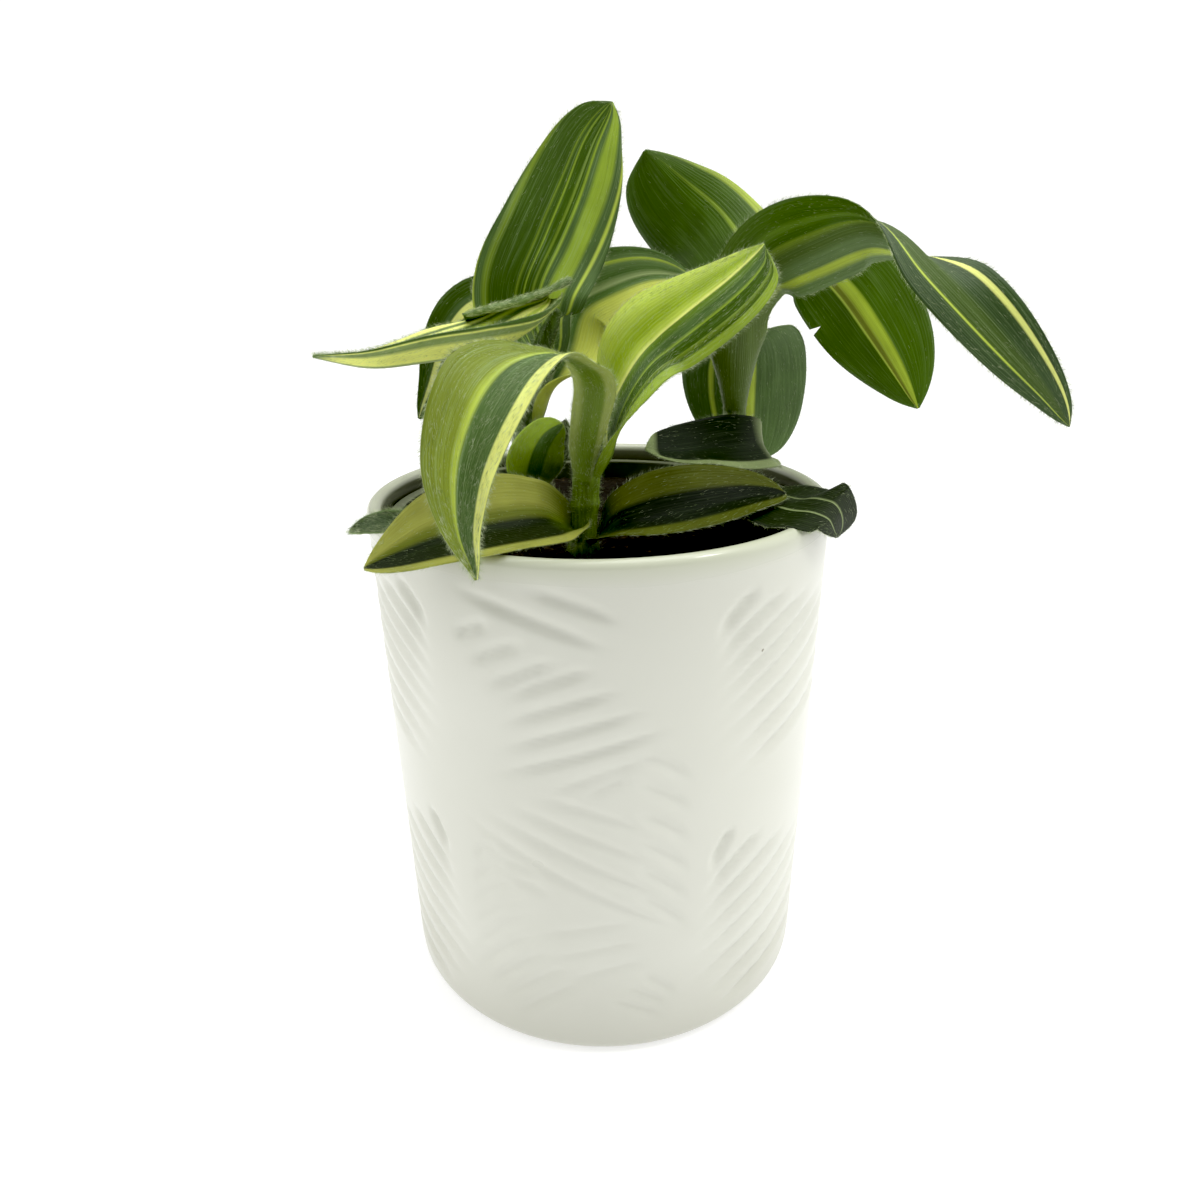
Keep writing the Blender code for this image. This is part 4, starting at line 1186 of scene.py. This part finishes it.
def blade_hairs(name, slot, grid, amounts, seed):
    """Hairs that lie towards the tip on both sides of a blade and stand out along its margins."""
    rng = np.random.default_rng(seed)
    upper, under, on_margin = amounts
    ahead = unit(np.gradient(grid, axis=0))
    across = unit(np.gradient(grid, axis=1))
    out = unit(np.cross(across, ahead))
    rows, columns = grid.shape[:2]

    def at(field, row, column):
        low_row, low_column = row.astype(int), column.astype(int)
        next_row = np.minimum(low_row + 1, rows - 1)
        next_column = np.minimum(low_column + 1, columns - 1)
        y, x = (row - low_row)[:, None], (column - low_column)[:, None]
        near = field[low_row, low_column] * (1 - x) + field[low_row, next_column] * x
        far = field[next_row, low_column] * (1 - x) + field[next_row, next_column] * x
        return near * (1 - y) + far * y

    roots, ways = [], []
    for count, side in ((upper, 1), (under, -1)):
        row = rng.uniform(0.02, 0.99, count) * (rows - 1)
        column = rng.uniform(0.03, 0.97, count) * (columns - 1)
        normal = at(out, row, column) * side
        roots.append(at(grid, row, column) + normal * 0.25)
        lean = rng.uniform(0.08, 0.4, (count, 1))
        ways.append(at(ahead, row, column) + normal * lean + rng.normal(0, 0.13, (count, 3)))
    for edge, side in ((0, -1), (columns - 1, 1)):
        run = distance_along(grid[:, edge])
        count = int(run[-1] * on_margin)
        row = np.interp(np.sort(rng.uniform(0, run[-1], count)), run, np.arange(rows))
        column = np.full(count, float(edge))
        roots.append(at(grid, row, column))
        lean = rng.uniform(0.3, 1.4, (count, 1))
        ways.append(at(across, row, column) * side + at(ahead, row, column) * lean + rng.normal(0, 0.3, (count, 3)))
    add_hairs(name, slot, np.concatenate(roots), np.concatenate(ways), rng)


# Floor, light and camera


def build_floor():
    floor = primitive(bpy.ops.mesh.primitive_plane_add, size=12)
    floor.name = "floor"
    material, shader, nodes = new_material("pale_floor", 0.9)
    nodes.feed(shader, {
        "Base Color": (0.5, 0.5, 0.5, 1), "Emission Color": (1, 1, 1, 1), "Emission Strength": FLOOR_GLOW})
    floor.data.materials.append(material)


def light_tent():
    """The tent's light on the plant; the camera itself sees an even backdrop."""
    world = bpy.data.worlds.new("studio")
    bpy.context.scene.world = world
    world.use_nodes = True
    nodes = Nodes(world.node_tree)
    way = nodes.axes(nodes.add("TexCoord").outputs["Generated"])
    front = nodes.fade(way[1], -0.9, -0.05, TENT_FRONT, TENT_SIDES)
    behind = nodes.fade(way[1], 0.1, 0.9, TENT_SIDES, TENT_BACK)
    above = nodes.math("MULTIPLY", nodes.fade(way[2], 0.45, 0.95), TENT_TOP)
    tent = nodes.math("MAXIMUM", nodes.math("MINIMUM", front, behind), above)
    seen = nodes.add("LightPath").outputs["Is Camera Ray"]
    lit = nodes.math("MULTIPLY", tent, nodes.math("SUBTRACT", 1.0, seen))
    strength = nodes.math("MAXIMUM", lit, nodes.math("MULTIPLY", seen, BACKDROP))
    nodes.feed(world.node_tree.nodes["Background"].inputs, {0: (1, 1, 0.985, 1), 1: strength})


def stage_and_camera():
    scene = bpy.context.scene
    scene.view_settings.view_transform = "Standard"
    scene.view_settings.use_curve_mapping = True
    scene.view_settings.curve_mapping.black_level = (0.01, 0.01, 0.01)
    scene.view_settings.curve_mapping.update()
    build_floor()
    light_tent()
    for name, (place, size, energy) in LAMPS.items():
        light = bpy.data.lights.new(name, "AREA")
        light.shape = "DISK"
        light.size = size
        light.energy = energy
        lamp = bpy.data.objects.new(name, light)
        lamp.location = place
        lamp.rotation_euler = (Vector((0, 0, 0.15)) - Vector(place)).to_track_quat("-Z", "Y").to_euler()
        scene.collection.objects.link(lamp)
    data = bpy.data.cameras.new("camera")
    data.sensor_width = 36
    data.lens = 36 * 901 / 1200
    camera = bpy.data.objects.new("camera", data)
    turned = Matrix.Rotation(np.radians(CAMERA_TILT), 4, "X") @ Matrix.Rotation(np.radians(CAMERA_ROLL), 4, "Z")
    camera.matrix_world = Matrix.Translation(CAMERA_PLACE) @ turned
    scene.collection.objects.link(camera)
    scene.camera = camera


build_pot()
grow_pot = frame["nodes"]["grow_pot"].data.materials
grow_pot.clear()
grow_pot.append(nursery_plastic())
build_soil()
for stem_name in STEMS:
    build_shoot(stem_name)
for number, leaf_name in enumerate(LOOKS):
    leaf_points = build_leaf(leaf_name)
    hair_name = leaf_name.replace("leaf_", "hairs_")
    blade_hairs(hair_name, CAD_SLOTS[leaf_name], leaf_points, LOOKS[leaf_name]["hairs"], number)
    if leaf_name == HEM_LEAF:
        build_hem(leaf_points)
stage_and_camera()
